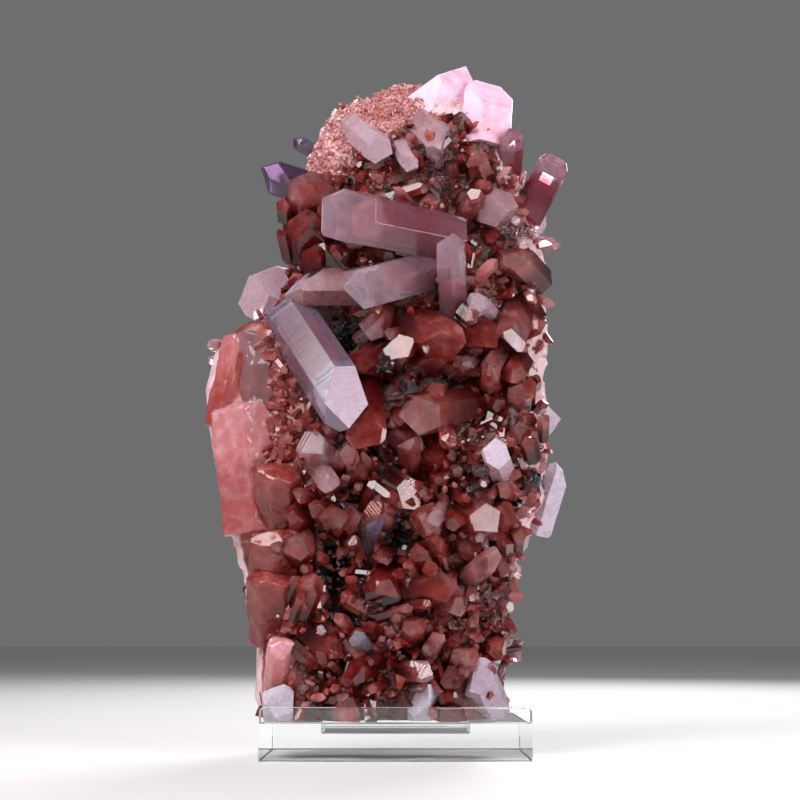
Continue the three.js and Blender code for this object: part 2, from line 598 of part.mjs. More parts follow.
function clusterSolid() {
  const parts = [matrixSolid(), ...namedCrystals.map(crystalSolid), ...frontFill(), ...flankFill()];
  const whole = wasm.Manifold.union(parts).subtract(standClearance()).simplify(0.03);
  // Joining the corners that lie within a hair of each other can pinch off a pocket, so the outer skin is
  // taken twice.
  return outerBody(solidFrom(geometryFrom(outerBody(whole)), 2e-3));
}

// The largest body, without the small pockets between crystals or any splinter that the stand cut off.
function outerBody(solid) {
  return solid.decompose().reduce((largest, body) => (body.volume() > largest.volume() ? body : largest));
}

function meshFrom(solid, name, material) {
  const mesh = new THREE.Mesh(geometryFrom(solid), material);
  mesh.name = name;
  return mesh;
}

function geometryFrom(solid) {
  const { vertProperties, triVerts, numProp } = solid.getMesh();
  const positions = new Float32Array((vertProperties.length / numProp) * 3);
  for (let i = 0; i * 3 < positions.length; i++) {
    positions.set(vertProperties.subarray(i * numProp, i * numProp + 3), i * 3);
  }
  const geometry = new THREE.BufferGeometry();
  geometry.setAttribute("position", new THREE.BufferAttribute(positions, 3));
  geometry.setIndex(new THREE.BufferAttribute(new Uint32Array(triVerts), 1));
  geometry.computeVertexNormals();
  return geometry;
}

const quartz = new THREE.MeshStandardMaterial({ color: 0xa8554e, roughness: 0.35, metalness: 0 });
quartz.flatShading = true;
const acrylic = new THREE.MeshStandardMaterial({ color: 0xdfe4e6, roughness: 0.05, metalness: 0 });
acrylic.opacity = 0.3;
acrylic.transparent = true;

const part = new THREE.Group();
part.add(meshFrom(clusterSolid(), "quartz_cluster", quartz));
part.add(meshFrom(standSolid(), "acrylic_stand", acrylic));

export default part;
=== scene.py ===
# A red phantom quartz cluster standing in a clear acrylic stand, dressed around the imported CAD. Blender 4.5.
# Blender works in metres. The dictionaries hold millimetres and, for places in the view, a column and a row in
# pixels with a depth in millimetres.
import itertools
import math

import bmesh
import bpy
import numpy as np
from mathutils import Matrix, Vector, noise


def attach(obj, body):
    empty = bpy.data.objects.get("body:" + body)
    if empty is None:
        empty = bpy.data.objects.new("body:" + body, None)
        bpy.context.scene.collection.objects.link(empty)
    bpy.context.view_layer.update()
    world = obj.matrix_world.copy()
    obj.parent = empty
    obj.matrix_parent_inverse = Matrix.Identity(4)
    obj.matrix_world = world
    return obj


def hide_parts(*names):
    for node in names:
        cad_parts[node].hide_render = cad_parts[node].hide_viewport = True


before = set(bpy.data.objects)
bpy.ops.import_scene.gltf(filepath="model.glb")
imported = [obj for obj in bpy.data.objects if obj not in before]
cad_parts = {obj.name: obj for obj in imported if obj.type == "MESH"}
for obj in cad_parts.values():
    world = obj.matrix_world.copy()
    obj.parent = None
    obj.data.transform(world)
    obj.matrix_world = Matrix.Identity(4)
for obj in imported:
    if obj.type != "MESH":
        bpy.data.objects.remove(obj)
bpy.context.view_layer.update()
print("frame loaded:", ", ".join(sorted(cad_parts)))

mm = 0.001
degrees = math.radians(1)

# The view that the outline and the crystals are laid out from, the same as in the CAD source.
viewpoint = {"x": 1.06, "y": -325.0, "z": 28.0, "pitch": 11.13 * degrees, "focal": 1225.0, "middle": 400.0}

# Row, left edge, right edge, then the front and back depth in mm.
matrixRows = [
    (722, 262, 499, -16.5, 14),
    (698, 255, 502, -19, 17),
    (670, 256, 508, -20, 17.2),
    (640, 256, 511, -20, 17.3),
    (605, 248, 510, -20, 17.3),
    (570, 240, 515, -20, 17.3),
    (535, 231, 527, -21, 17.4),
    (500, 222, 545, -21, 19),
    (465, 215, 548, -21.5, 20.5),
    (430, 209, 546, -22, 21.5),
    (394, 206, 547, -22, 23),
    (360, 214, 547, -22, 23),
    (338, 234, 549, -21.5, 22),
    (318, 270, 548, -21.5, 22),
    (288, 285, 545, -22, 21),
    (254, 290, 541, -22, 20),
    (220, 299, 533, -22, 19.5),
    (186, 304, 522, -21, 18.5),
    (154, 311, 514, -19, 16.5),
    (132, 321, 508, -16.5, 14.5),
    (116, 343, 499, -13.5, 11.5),
    (104, 374, 491, -11, 9),
    (93, 402, 484, -8, 6.5),
]
# Hollows and swellings of the front: column, row, radius in pixels, and how far it comes forward in mm.
frontRelief = [
    (342, 348, 34, -9),
    (330, 562, 30, -7),
    (345, 618, 32, -5),
    (322, 650, 24, -4),
    (462, 372, 26, -3),
    (252, 385, 40, -3),
    (276, 500, 26, 2),
    (272, 600, 32, 2.5),
    (440, 290, 60, 2),
    (400, 210, 46, 2),
    (470, 470, 50, 1.5),
    (430, 640, 44, 1.5),
]
outlineDepth = -1.0  # where the body is as wide as its outline
frontDepth = -20.0  # about where the front lies
sectionPower = 3.0
footZ = 8.95
lobeEdge = [(330, 300), (390, 300), (430, 320), (500, 322), (545, 306), (720, 298)]  # row, column


def chance(number, salt):
    value = math.sin(number * 12.9898 + salt * 78.233) * 43758.5453
    return value - math.floor(value)


def mix(low, high, share):
    return low + (high - low) * share


def vary(pair, share):
    # the pair holds the least value and what may be added to it
    return pair[0] + pair[1] * share


def spot(column, row, depth):
    # the place in mm that a pixel of the view shows at this depth
    right = (column - viewpoint["middle"]) / viewpoint["focal"]
    up = (viewpoint["middle"] - row) / viewpoint["focal"]
    along = math.cos(viewpoint["pitch"]) - up * math.sin(viewpoint["pitch"])
    rise = math.sin(viewpoint["pitch"]) + up * math.cos(viewpoint["pitch"])
    reach = (depth - viewpoint["y"]) / along
    return Vector((viewpoint["x"] + reach * right, depth, viewpoint["z"] + reach * rise))


def seen(x, y, z):
    # the column and row where a place in mm appears in the view
    ahead, up = y - viewpoint["y"], z - viewpoint["z"]
    depth = ahead * math.cos(viewpoint["pitch"]) + up * math.sin(viewpoint["pitch"])
    rise = up * math.cos(viewpoint["pitch"]) - ahead * math.sin(viewpoint["pitch"])
    column = viewpoint["middle"] + viewpoint["focal"] * (x - viewpoint["x"]) / depth
    return column, viewpoint["middle"] - viewpoint["focal"] * rise / depth


def levelOf(row, left, right, front, back):
    # one row of the outline in mm: its height, left and right edge, front and back
    leftSpot, rightSpot = spot(left, row, outlineDepth), spot(right, row, outlineDepth)
    return leftSpot.z, leftSpot.x, rightSpot.x, front, back


levels = np.array([levelOf(*matrixRow) for matrixRow in matrixRows])
levels[0, 0] = footZ
reliefSpots = []
for column, row, radius, push in frontRelief:
    centre = spot(column, row, frontDepth)
    reliefSpots.append((centre.x, centre.z, spot(column + radius, row, frontDepth).x - centre.x, push))


def wobble(x, z):
    slow = 1.1 * np.sin(0.31 * x + 0.17 * z) * np.cos(0.23 * z - 0.11 * x)
    return slow + 0.6 * np.sin(0.71 * x - 0.53 * z)


def relief(x, z):
    total = 0.0
    for cx, cz, radius, push in reliefSpots:
        total = total + push * np.exp(-((x - cx) ** 2 + (z - cz) ** 2) / (radius * radius))
    return total


def sectionAt(z):
    # middle and half width at this height, and how far the front and the back lie from the outline's depth
    left, right, front, back = (np.interp(z, levels[:, 0], levels[:, k]) for k in (1, 2, 3, 4))
    return (left + right) / 2, (right - left) / 2, front - outlineDepth, back - outlineDepth


def skin(turn, z):
    # x and y of the matrix skin at a turn round the section: 0 is the right edge, half a turn the left
    middle, half, front, back = sectionAt(z)
    c, s = np.cos(turn), np.sin(turn)
    x = middle + half * np.sign(c) * np.abs(c) ** (2 / sectionPower)
    share = np.abs(s) ** (2 / sectionPower)
    rough = wobble(x, z) * share
    atFront = front * share - relief(x, z) * share - rough
    atBack = back * share + np.minimum(0, rough - 0.6)
    return x, outlineDepth + np.where(s < 0, atFront, atBack)


def frontSkin(x, z):
    # the place of the front at this x and z, and the way it faces there
    def depthAt(px, pz):
        middle, half, front, _ = sectionAt(pz)
        across = min(1.0, abs(px - middle) / half)
        share = (1 - across**sectionPower) ** (1 / sectionPower)
        return outlineDepth + front * share - (relief(px, pz) + wobble(px, pz)) * share

    step, steepest = 1.5, 1.6
    slopeX = (depthAt(x + step, z) - depthAt(x - step, z)) / (2 * step)
    slopeZ = (depthAt(x, z + step) - depthAt(x, z - step)) / (2 * step)
    slopeX, slopeZ = (min(steepest, max(-steepest, slope)) for slope in (slopeX, slopeZ))
    return Vector((x, depthAt(x, z), z)), Vector((slopeX, -1, slopeZ)).normalized()


# Meshes and objects


def newMesh(name, points, faces):
    mesh = bpy.data.meshes.new(name)
    mesh.from_pydata([[v * mm for v in p] for p in points], [], faces)
    return mesh


def setMark(mesh, name, values):
    mesh.attributes.new(name, "FLOAT", "POINT").data.foreach_set("value", values)


def show(name, data):
    made = bpy.data.objects.new(name, data)
    bpy.context.scene.collection.objects.link(made)
    return made


def dress(piece, node):
    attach(piece, "root")
    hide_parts(node)
    return piece


def finished(made):
    # a plain mesh of the object as its modifiers show it, and the object is gone
    graph = bpy.context.evaluated_depsgraph_get()
    mesh = bpy.data.meshes.new_from_object(made.evaluated_get(graph))
    bpy.data.objects.remove(made)
    return mesh


def bevelEdges(made, width, segments=1):
    body = bmesh.new()
    body.from_mesh(made.data)
    form = {"offset": width * mm, "segments": segments, "profile": 0.6}
    bmesh.ops.bevel(body, geom=body.edges[:], affect="EDGES", clamp_overlap=True, **form)
    body.to_mesh(made.data)
    body.free()


# Materials


def feed(tree, socket, value):
    # links the socket to another one, or sets it to a plain value
    if isinstance(value, bpy.types.NodeSocket):
        tree.links.new(value, socket)
    else:
        socket.default_value = value


def addNode(tree, kind, inputs=None, **settings):
    made = tree.nodes.new(kind)
    for key, value in settings.items():
        setattr(made, key, value)
    for key, value in (inputs or {}).items():
        feed(tree, made.inputs[key], value)
    return made


def newMaterial(name, plain):
    material = bpy.data.materials.new(name)
    material.use_nodes = True
    tree = material.node_tree
    shader = tree.nodes["Principled BSDF"]
    for key, value in plain.items():
        shader.inputs[key].default_value = value
    return material, tree, shader


def colourRamp(tree, factor, stops):
    made = addNode(tree, "ShaderNodeValToRGB", {"Fac": factor})
    elements = made.color_ramp.elements
    while len(elements) < len(stops):
        elements.new(0.5)
    for element, (position, colour) in zip(elements, stops):
        element.position = position
        element.color = (*colour, 1)
    return made.outputs["Color"]


def blendColours(tree, factor, first, second):
    # second is another colour socket or a plain colour
    if not isinstance(second, bpy.types.NodeSocket):
        second = (*second, 1)
    return addNode(tree, "ShaderNodeMix", {0: factor, 6: first, 7: second}, data_type="RGBA").outputs[2]


def calc(tree, operation, first, second=0.0, third=0.0):
    return addNode(tree, "ShaderNodeMath", {0: first, 1: second, 2: third}, operation=operation).outputs[0]


def attribute(tree, name):
    return addNode(tree, "ShaderNodeAttribute", attribute_name=name).outputs["Fac"]


def place(tree):
    return addNode(tree, "ShaderNodeTexCoord").outputs["Object"]


def noiseAt(tree, scale, detail=4.0, roughness=0.55):
    # scale is in features per metre
    inputs = {"Scale": scale, "Detail": detail, "Roughness": roughness, "Vector": place(tree)}
    return addNode(tree, "ShaderNodeTexNoise", inputs).outputs["Fac"]


def centred(tree, value):
    return calc(tree, "SUBTRACT", value, 0.5)


def stretch(tree, value, low, high, outLow=0.0, outHigh=1.0):
    inputs = {"Value": value, "From Min": low, "From Max": high, "To Min": outLow, "To Max": outHigh}
    return addNode(tree, "ShaderNodeMapRange", inputs).outputs["Result"]


def bump(tree, height, strength, distance):
    inputs = {"Height": height, "Strength": strength, "Distance": distance * mm}
    return addNode(tree, "ShaderNodeBump", inputs).outputs["Normal"]


rockColours = {
    "red": [
        (0.3, (0.018, 0.002, 0.002)),
        (0.45, (0.055, 0.006, 0.005)),
        (0.58, (0.12, 0.018, 0.014)),
        (0.72, (0.24, 0.07, 0.06)),
    ],
    "salmon": [
        (0.3, (0.11, 0.012, 0.008)),
        (0.46, (0.22, 0.028, 0.02)),
        (0.58, (0.32, 0.065, 0.052)),
        (0.72, (0.46, 0.17, 0.16)),
    ],
    "pale": [
        (0.3, (0.44, 0.18, 0.17)),
        (0.44, (0.6, 0.35, 0.37)),
        (0.56, (0.7, 0.5, 0.55)),
        (0.72, (0.78, 0.62, 0.7)),
    ],
    "sugary": [(0.36, (0.3, 0.05, 0.035)), (0.5, (0.5, 0.17, 0.15)), (0.64, (0.7, 0.42, 0.45))],
    "stain": (0.24, 0.06, 0.045),
    # near black of the painted shade in the hollows, where black ore lies too
    "ore": (0.012, 0.008, 0.01),
}


def rockMaterial():
    plain = {"Coat Weight": 0.1, "Coat Roughness": 0.2, "Subsurface Weight": 0.1, "Subsurface Scale": 0.0015}
    material, tree, shader = newMaterial("matrix rock", plain)
    broad, medium, fine = noiseAt(tree, 70), noiseAt(tree, 260, 6), noiseAt(tree, 1500, 5, 0.7)
    cloud = calc(tree, "ADD", calc(tree, "MULTIPLY", broad, 0.5), calc(tree, "MULTIPLY", medium, 0.5))
    kinds = ("red", "salmon", "pale", "sugary")
    red, salmon, pale, sugary = (colourRamp(tree, cloud, rockColours[kind]) for kind in kinds)
    # salmon on the lobe, pale on the rims and the back, sugary round the summit, each with an uneven edge
    grain = calc(tree, "MULTIPLY", centred(tree, medium), 0.9)
    lobeShare = stretch(tree, calc(tree, "ADD", attribute(tree, "lobe"), grain), 0.4, 0.6)
    paleShare = stretch(tree, calc(tree, "ADD", attribute(tree, "pale"), grain), 0.38, 0.62)
    colour = blendColours(tree, lobeShare, red, salmon)
    colour = blendColours(tree, paleShare, colour, pale)
    colour = blendColours(tree, attribute(tree, "crust"), colour, sugary)
    # iron stains on the back, most of them under its patches of small crystals
    stain = calc(tree, "MULTIPLY", attribute(tree, "patch"), 0.12)
    stain = calc(tree, "ADD", noiseAt(tree, 55, 6, 0.68), stain)
    onBack = calc(tree, "MULTIPLY", attribute(tree, "back"), 0.85)
    stainShare = calc(tree, "MULTIPLY", stretch(tree, stain, 0.54, 0.7), onBack)
    colour = blendColours(tree, stainShare, colour, rockColours["stain"])
    # painted shade: the rock turns near black in the dark hollows, which hold black ore as well
    hollowShadeShare = stretch(tree, calc(tree, "ADD", attribute(tree, "dark"), centred(tree, fine)), 0.45, 0.62)
    colour = blendColours(tree, hollowShadeShare, colour, rockColours["ore"])
    tree.links.new(colour, shader.inputs["Base Color"])
    tree.links.new(stretch(tree, fine, 0.3, 0.7, 0.25, 0.6), shader.inputs["Roughness"])
    # crumbs and fine grain, almost none on the smooth lobe
    crumbs = addNode(tree, "ShaderNodeTexVoronoi", {"Scale": 900.0, "Vector": place(tree)})
    height = calc(tree, "ADD", crumbs.outputs["Distance"], calc(tree, "MULTIPLY", fine, 0.6))
    height = calc(tree, "MULTIPLY", height, calc(tree, "MULTIPLY_ADD", lobeShare, -0.85, 1.0))
    tree.links.new(bump(tree, height, 0.6, 0.35), shader.inputs["Normal"])
    return material


ironRed = (0.19, 0.012, 0.012)
dustRed = (0.24, 0.018, 0.04)
# near black of the painted shade at the crystals' roots
paintedRootShadeColour = (0.02, 0.002, 0.003)
quartzLook = {
    "tipLift": 0.25,  # how much paler the tip is than the root
    "grain": 0.3,  # clouds inside
    "zoned": 0.0,  # broad zones of colour
    "patches": 0.0,  # iron red that fills the root
    "phantom": 0.0,  # dust of an earlier tip
    "rootShade": 1.0,  # painted shade at the root: the share of the colour left there, 1 being no shade
    "roughness": (0.05, 0.2),
    "etch": (0.25, 0.12),  # strength of the growth steps, and the share of fine pits in them
}


def crystalMaterial(name, stops, plain, **changes):
    # the colour runs along a ramp by each crystal's own tone, rises towards its tip, and is clouded inside
    look = {**quartzLook, **changes}
    material, tree, shader = newMaterial(name, plain)
    cloud = noiseAt(tree, 300, 5, 0.62)
    fine = noiseAt(tree, 2400, 4, 0.65)
    rise = attribute(tree, "along")
    tone = calc(tree, "MULTIPLY_ADD", rise, look["tipLift"], attribute(tree, "tone"))
    tone = calc(tree, "MULTIPLY_ADD", centred(tree, cloud), look["grain"] * 2, tone)
    broad = centred(tree, noiseAt(tree, 110, 3, 0.6))
    colour = colourRamp(tree, calc(tree, "MULTIPLY_ADD", broad, look["zoned"], tone), stops)
    if look["patches"]:
        # iron red that fills the root and ends in an uneven front, higher up in the darker crystals
        front = calc(tree, "MULTIPLY_ADD", centred(tree, noiseAt(tree, 230, 4, 0.6)), 0.9, rise)
        level = calc(tree, "SUBTRACT", 0.95, attribute(tree, "tone"))
        filled = stretch(tree, calc(tree, "SUBTRACT", level, front), -0.02, 0.16)
        colour = blendColours(tree, calc(tree, "MULTIPLY", filled, look["patches"]), colour, ironRed)
    if look["phantom"]:
        # dust that settled on the crystal when it was smaller, ending at a sharp front
        front = calc(tree, "MULTIPLY_ADD", centred(tree, cloud), 0.12, rise)
        zone = calc(tree, "MULTIPLY", stretch(tree, front, 0.67, 0.645), stretch(tree, front, 0.1, 0.35))
        grains = stretch(tree, noiseAt(tree, 3600, 3, 0.7), 0.26, 0.54)
        dusty = calc(tree, "MULTIPLY", stretch(tree, attribute(tree, "tone"), 0.55, 0.4), look["phantom"])
        share = calc(tree, "MULTIPLY", calc(tree, "MULTIPLY", zone, grains), dusty)
        colour = blendColours(tree, share, colour, dustRed)
    if look["rootShade"] < 1:
        # painted shade: the colour darkens towards each crystal's root, where the crystals stand close together
        shade = calc(tree, "SUBTRACT", 1.0, stretch(tree, rise, 0.2, 0.62, look["rootShade"], 1.0))
        colour = blendColours(tree, shade, colour, paintedRootShadeColour)
    tree.links.new(colour, shader.inputs["Base Color"])
    tree.links.new(stretch(tree, cloud, 0.35, 0.7, *look["roughness"]), shader.inputs["Roughness"])
    bands = {"W": attribute(tree, "grown"), "Scale": 2.2, "Detail": 2.0}
    steps = addNode(tree, "ShaderNodeTexNoise", bands, noise_dimensions="1D").outputs["Fac"]
    strength, pits = look["etch"]
    height = calc(tree, "MULTIPLY_ADD", fine, pits, steps)
    tree.links.new(bump(tree, height, strength, 0.1), shader.inputs["Normal"])
    return material


def glassy(transmission):
    return {"Transmission Weight": transmission, "IOR": 1.54}  # as quartz bends light


finishes = {
    "rock": rockMaterial(),
    "red": crystalMaterial(
        "red quartz",
        [
            (0.0, (0.018, 0.002, 0.002)),
            (0.25, (0.07, 0.005, 0.004)),
            (0.5, (0.22, 0.02, 0.015)),
            (0.7, (0.38, 0.065, 0.055)),
            (1.0, (0.58, 0.25, 0.25)),
        ],
        glassy(0.3),
        tipLift=0.3,
        grain=0.5,
        zoned=0.5,
        rootShade=0.3,
    ),
    "garnet": crystalMaterial(
        "glassy red quartz",
        [
            (0.0, (0.06, 0.003, 0.002)),
            (0.4, (0.26, 0.02, 0.016)),
            (0.7, (0.44, 0.075, 0.062)),
            (1.0, (0.64, 0.24, 0.24)),
        ],
        glassy(0.62),
        tipLift=0.3,
        grain=0.7,
        roughness=(0.02, 0.1),
        patches=0.6,
        zoned=0.9,
        rootShade=0.25,
    ),
    "lilac": crystalMaterial(
        "lilac quartz",
        [
            (0.0, (0.34, 0.2, 0.31)),
            (0.35, (0.45, 0.36, 0.52)),
            (0.65, (0.58, 0.5, 0.66)),
            (1.0, (0.84, 0.79, 0.9)),
        ],
        glassy(0.76),
        tipLift=0.2,
        grain=0.25,
        roughness=(0.01, 0.08),
        phantom=0.5,
    ),
    "mauve": crystalMaterial(
        "mauve quartz",
        [
            (0.0, (0.34, 0.07, 0.09)),
            (0.4, (0.46, 0.18, 0.24)),
            (0.7, (0.6, 0.38, 0.48)),
            (1.0, (0.82, 0.68, 0.78)),
        ],
        glassy(0.76),
        tipLift=0.3,
        grain=0.35,
        roughness=(0.01, 0.08),
        patches=0.15,
        phantom=0.9,
        etch=(0.15, 0.12),
    ),
    "rose": crystalMaterial(
        "rose quartz",
        [
            (0.0, (0.26, 0.02, 0.016)),
            (0.35, (0.44, 0.07, 0.06)),
            (0.65, (0.58, 0.18, 0.18)),
            (1.0, (0.8, 0.5, 0.56)),
        ],
        glassy(0.76),
        tipLift=0.35,
        grain=0.6,
        roughness=(0.01, 0.08),
        patches=0.6,
        zoned=0.9,
        rootShade=0.3,
    ),
    "pearl": crystalMaterial(
        "pale pink quartz",
        [(0.0, (0.5, 0.17, 0.17)), (0.5, (0.62, 0.32, 0.36)), (1.0, (0.8, 0.55, 0.66))],
        glassy(0.55),
        tipLift=0.3,
        roughness=(0.2, 0.36),
        patches=0.25,
    ),
    "clear": crystalMaterial(
        "clear quartz",
        [(0.0, (0.9, 0.66, 0.64)), (0.5, (0.95, 0.8, 0.8)), (1.0, (0.98, 0.92, 0.94))],
        glassy(1.0),
        grain=0.15,
        roughness=(0.0, 0.03),
        etch=(0.05, 0.05),
    ),
    "violet": crystalMaterial(
        "violet quartz",
        [(0.0, (0.06, 0.03, 0.08)), (0.5, (0.11, 0.055, 0.13)), (1.0, (0.28, 0.18, 0.31))],
        glassy(0.76),
        tipLift=0.2,
        roughness=(0.02, 0.12),
    ),
    "frost": crystalMaterial(
        "frosted quartz",
        [(0.0, (0.36, 0.2, 0.26)), (0.5, (0.5, 0.35, 0.45)), (1.0, (0.74, 0.64, 0.76))],
        glassy(0.2),
        tipLift=0.15,
        grain=0.4,
        roughness=(0.18, 0.4),
        etch=(0.6, 1.4),
    ),
    "milky": crystalMaterial(
        "milky quartz",
        [
            (0.0, (0.42, 0.11, 0.1)),
            (0.35, (0.6, 0.24, 0.26)),
            (0.65, (0.73, 0.4, 0.54)),
            (1.0, (0.88, 0.62, 0.8)),
        ],
        {"Subsurface Weight": 0.35, "Subsurface Scale": 0.004},
        tipLift=0.3,
        grain=0.5,
        roughness=(0.35, 0.6),
    ),
    "crust": crystalMaterial(
        "sugary pink quartz",
        [
            (0.0, (0.38, 0.075, 0.06)),
            (0.4, (0.5, 0.17, 0.155)),
            (0.7, (0.62, 0.3, 0.31)),
            (1.0, (0.76, 0.5, 0.56)),
        ],
        glassy(0.15),
        grain=0.5,
        roughness=(0.25, 0.45),
    ),
    "salmon": crystalMaterial(
        "salmon quartz",
        [
            (0.0, (0.2, 0.02, 0.013)),
            (0.3, (0.38, 0.065, 0.05)),
            (0.6, (0.5, 0.18, 0.195)),
            (1.0, (0.74, 0.5, 0.6)),
        ],
        {"Coat Weight": 0.5, "Coat Roughness": 0.08, "Subsurface Weight": 0.3, "Subsurface Scale": 0.003},
        roughness=(0.15, 0.35),
        patches=0.45,
    ),
    "glaze": crystalMaterial(
        "brown red glassy quartz",
        [
            (0.0, (0.08, 0.006, 0.005)),
            (0.35, (0.27, 0.026, 0.022)),
            (0.65, (0.43, 0.075, 0.066)),
            (1.0, (0.58, 0.22, 0.21)),
        ],
        glassy(0.45),
        tipLift=0.2,
        grain=0.6,
        roughness=(0.15, 0.3),
        patches=0.5,
    ),
    "smoky": crystalMaterial(
        "smoky quartz",
        [(0.0, (0.14, 0.04, 0.04)), (0.5, (0.26, 0.1, 0.105)), (1.0, (0.43, 0.22, 0.25))],
        glassy(0.4),
        roughness=(0.08, 0.2),
    ),
    "phantom": crystalMaterial(
        "phantom dust",
        [(0.0, (0.16, 0.012, 0.01)), (0.5, (0.34, 0.03, 0.025)), (1.0, (0.5, 0.12, 0.12))],
        {},
        grain=0.4,
        roughness=(0.5, 0.8),
    ),
}
# black ore of the specks, also used for the seams that stand in for shade along the gaps
blackPlain = {"Base Color": (0.004, 0.004, 0.006, 1), "Metallic": 0.2, "Roughness": 0.2}
finishes["black"] = newMaterial("black ore", blackPlain)[0]
print("materials made:", len(finishes))

# Crystals, cut by planes as in the CAD source

crystalForm = {
    "rhombFace": 51.8 * degrees,  # between the axis and the normal of an end face
    "smallWidth": 7.0,  # a narrower crystal has three end faces
    "sideReach": (0.88, 0.24),  # how far a side face lies from the axis
    "leadLower": 0.42,  # how much lower the leading end face starts, in widths
    "minorHigher": 0.26,  # and how much higher every second end face does, more or less
    "brokenTilt": (0.14, 0.4),  # of the faces of a broken end
}
# where the lip, the shelf and the back rest of the stand leave room, in mm
standSpace = {"lipTop": 12.85, "lipBack": -21.65, "restTop": 56.4, "restFront": 17.65}


def crystalPlanes(length, width, roll, lead, broken, seed):
    inner = width / 2 * math.cos(math.pi / 6)
    rhombFace = crystalForm["rhombFace"]
    normals, distances, kinds = [(0, 0, -1)], [0.0], ["base"]
    for k in range(6):
        turn = (roll + 30 + 60 * k) * degrees
        c, s = math.cos(turn), math.sin(turn)
        normals.append((c, s, 0))
        distances.append(inner * vary(crystalForm["sideReach"], chance(seed, k)))
        kinds.append("side")
        if broken or (k % 2 and width < crystalForm["smallWidth"]):
            continue
        late = (k % 2) * crystalForm["minorHigher"] * width * (0.5 + chance(seed, k + 7))
        if k == lead:
            late = -crystalForm["leadLower"] * width
        normals.append((c * math.sin(rhombFace), s * math.sin(rhombFace), math.cos(rhombFace)))
        distances.append((length + late) * math.cos(rhombFace))
        kinds.append("lead" if k == lead else "end")
    if broken:
        for k in range(3):
            turn = (roll + 120 * k + 40 * chance(seed, k + 3)) * degrees
            tilt = vary(crystalForm["brokenTilt"], chance(seed, k + 11))
            normal = Vector((math.cos(turn) * tilt, math.sin(turn) * tilt, 1)).normalized()
            normals.append(tuple(normal))
            distances.append(length * normal.z)
            kinds.append("end")
    return np.array(normals), np.array(distances), kinds


def convexBody(normals, distances, slack=1e-6):
    # the corners where three planes meet, and each face as a ring of corners
    triples = np.array(list(itertools.combinations(range(len(normals)), 3)))
    systems = normals[triples]
    sound = np.abs(np.linalg.det(systems)) > 1e-6  # the three planes do meet in one point
    found = np.linalg.solve(systems[sound], distances[triples[sound]][..., None])[..., 0]
    inside = (found @ normals.T < distances + slack).all(axis=1)
    sameCorner = 1e-3
    corners = []
    for corner in found[inside]:
        if not any(np.linalg.norm(corner - other) < sameCorner for other in corners):
            corners.append(corner)
    corners = np.array(corners)
    faces = []
    for normal, distance in zip(normals, distances):
        ring = np.nonzero(np.abs(corners @ normal - distance) < 1e-4 + 5 * slack)[0]
        if len(ring) < 3:
            faces.append([])
            continue
        centre = corners[ring].mean(axis=0)
        across = corners[ring[0]] - centre
        across /= np.linalg.norm(across)
        upright = np.cross(normal, across)
        angles = [math.atan2((corners[i] - centre) @ upright, (corners[i] - centre) @ across) for i in ring]
        faces.append([int(ring[i]) for i in np.argsort(angles)])
    return corners, faces


def crystalShape(length, width, flat, roll, lead, broken, seed):
    normals, distances, kinds = crystalPlanes(length, width, roll, lead, broken, seed)
    corners, faces = convexBody(normals, distances)
    if not broken:
        apex = corners[corners[:, 2].argmax()]
        corners = corners + np.array([-apex[0], -apex[1], length - apex[2]])
    corners[:, 1] *= flat
    return corners, faces, kinds


def clearOfStand(corners, faces, kinds):
    # a crystal that reaches down to the stand is cut flat where its shelf, lip or back rest begins
    low = corners[:, 2].min()
    if low > standSpace["restTop"]:
        return corners, faces, kinds
    rings = [corners[f] for f in faces]
    normals = [np.cross(ring, np.roll(ring, -1, axis=0)).sum(axis=0) for ring in rings]
    normals = [n / np.linalg.norm(n) for n in normals]
    distances = [n @ corners[f[0]] for n, f in zip(normals, faces)]
    cuts = [((0, 0, -1), -footZ), ((0, 1, 0), standSpace["restFront"])]
    if low < standSpace["lipTop"]:
        cuts.append(((0, -1, 0), -standSpace["lipBack"]))
    normals = np.array(normals + [np.array(n, float) for n, _ in cuts])
    distances = np.array(distances + [d for _, d in cuts])
    corners, faces = convexBody(normals, distances, 1e-4)
    return corners, faces, kinds + ["base"] * len(cuts)


def crystalPlace(tip, root):
    # how a crystal is turned from the z axis, and its length
    axis = (tip - root).normalized()
    side = axis.cross(Vector((0, 1, 0)))
    if side.length < 0.2:
        side = Vector((1, 0, 0)) - axis * axis.x
    side.normalize()
    front = axis.cross(side).normalized()
    turned = Matrix((side, front, axis)).transposed()
    return turned, (tip - root).length


class Heap:
    # gathers many shapes into one mesh, with their attributes and materials
    def __init__(self):
        self.points, self.faces, self.slots = [], [], []
        self.marks = {"tone": [], "along": [], "grown": []}

    def add(self, points, faces, slots, tone, along, grown):
        start = len(self.points)
        self.points += [tuple(p) for p in points]
        self.faces += [[start + i for i in face] for face in faces]
        self.slots += slots
        self.marks["tone"] += [tone] * len(points)
        self.marks["along"] += list(along)
        self.marks["grown"] += list(grown)

    def piece(self, name, materials):
        mesh = newMesh(name, self.points, self.faces)
        for material in materials:
            mesh.materials.append(material)
        mesh.polygons.foreach_set("material_index", self.slots)
        for key, values in self.marks.items():
            setMark(mesh, key, values)
        return show(name, mesh)


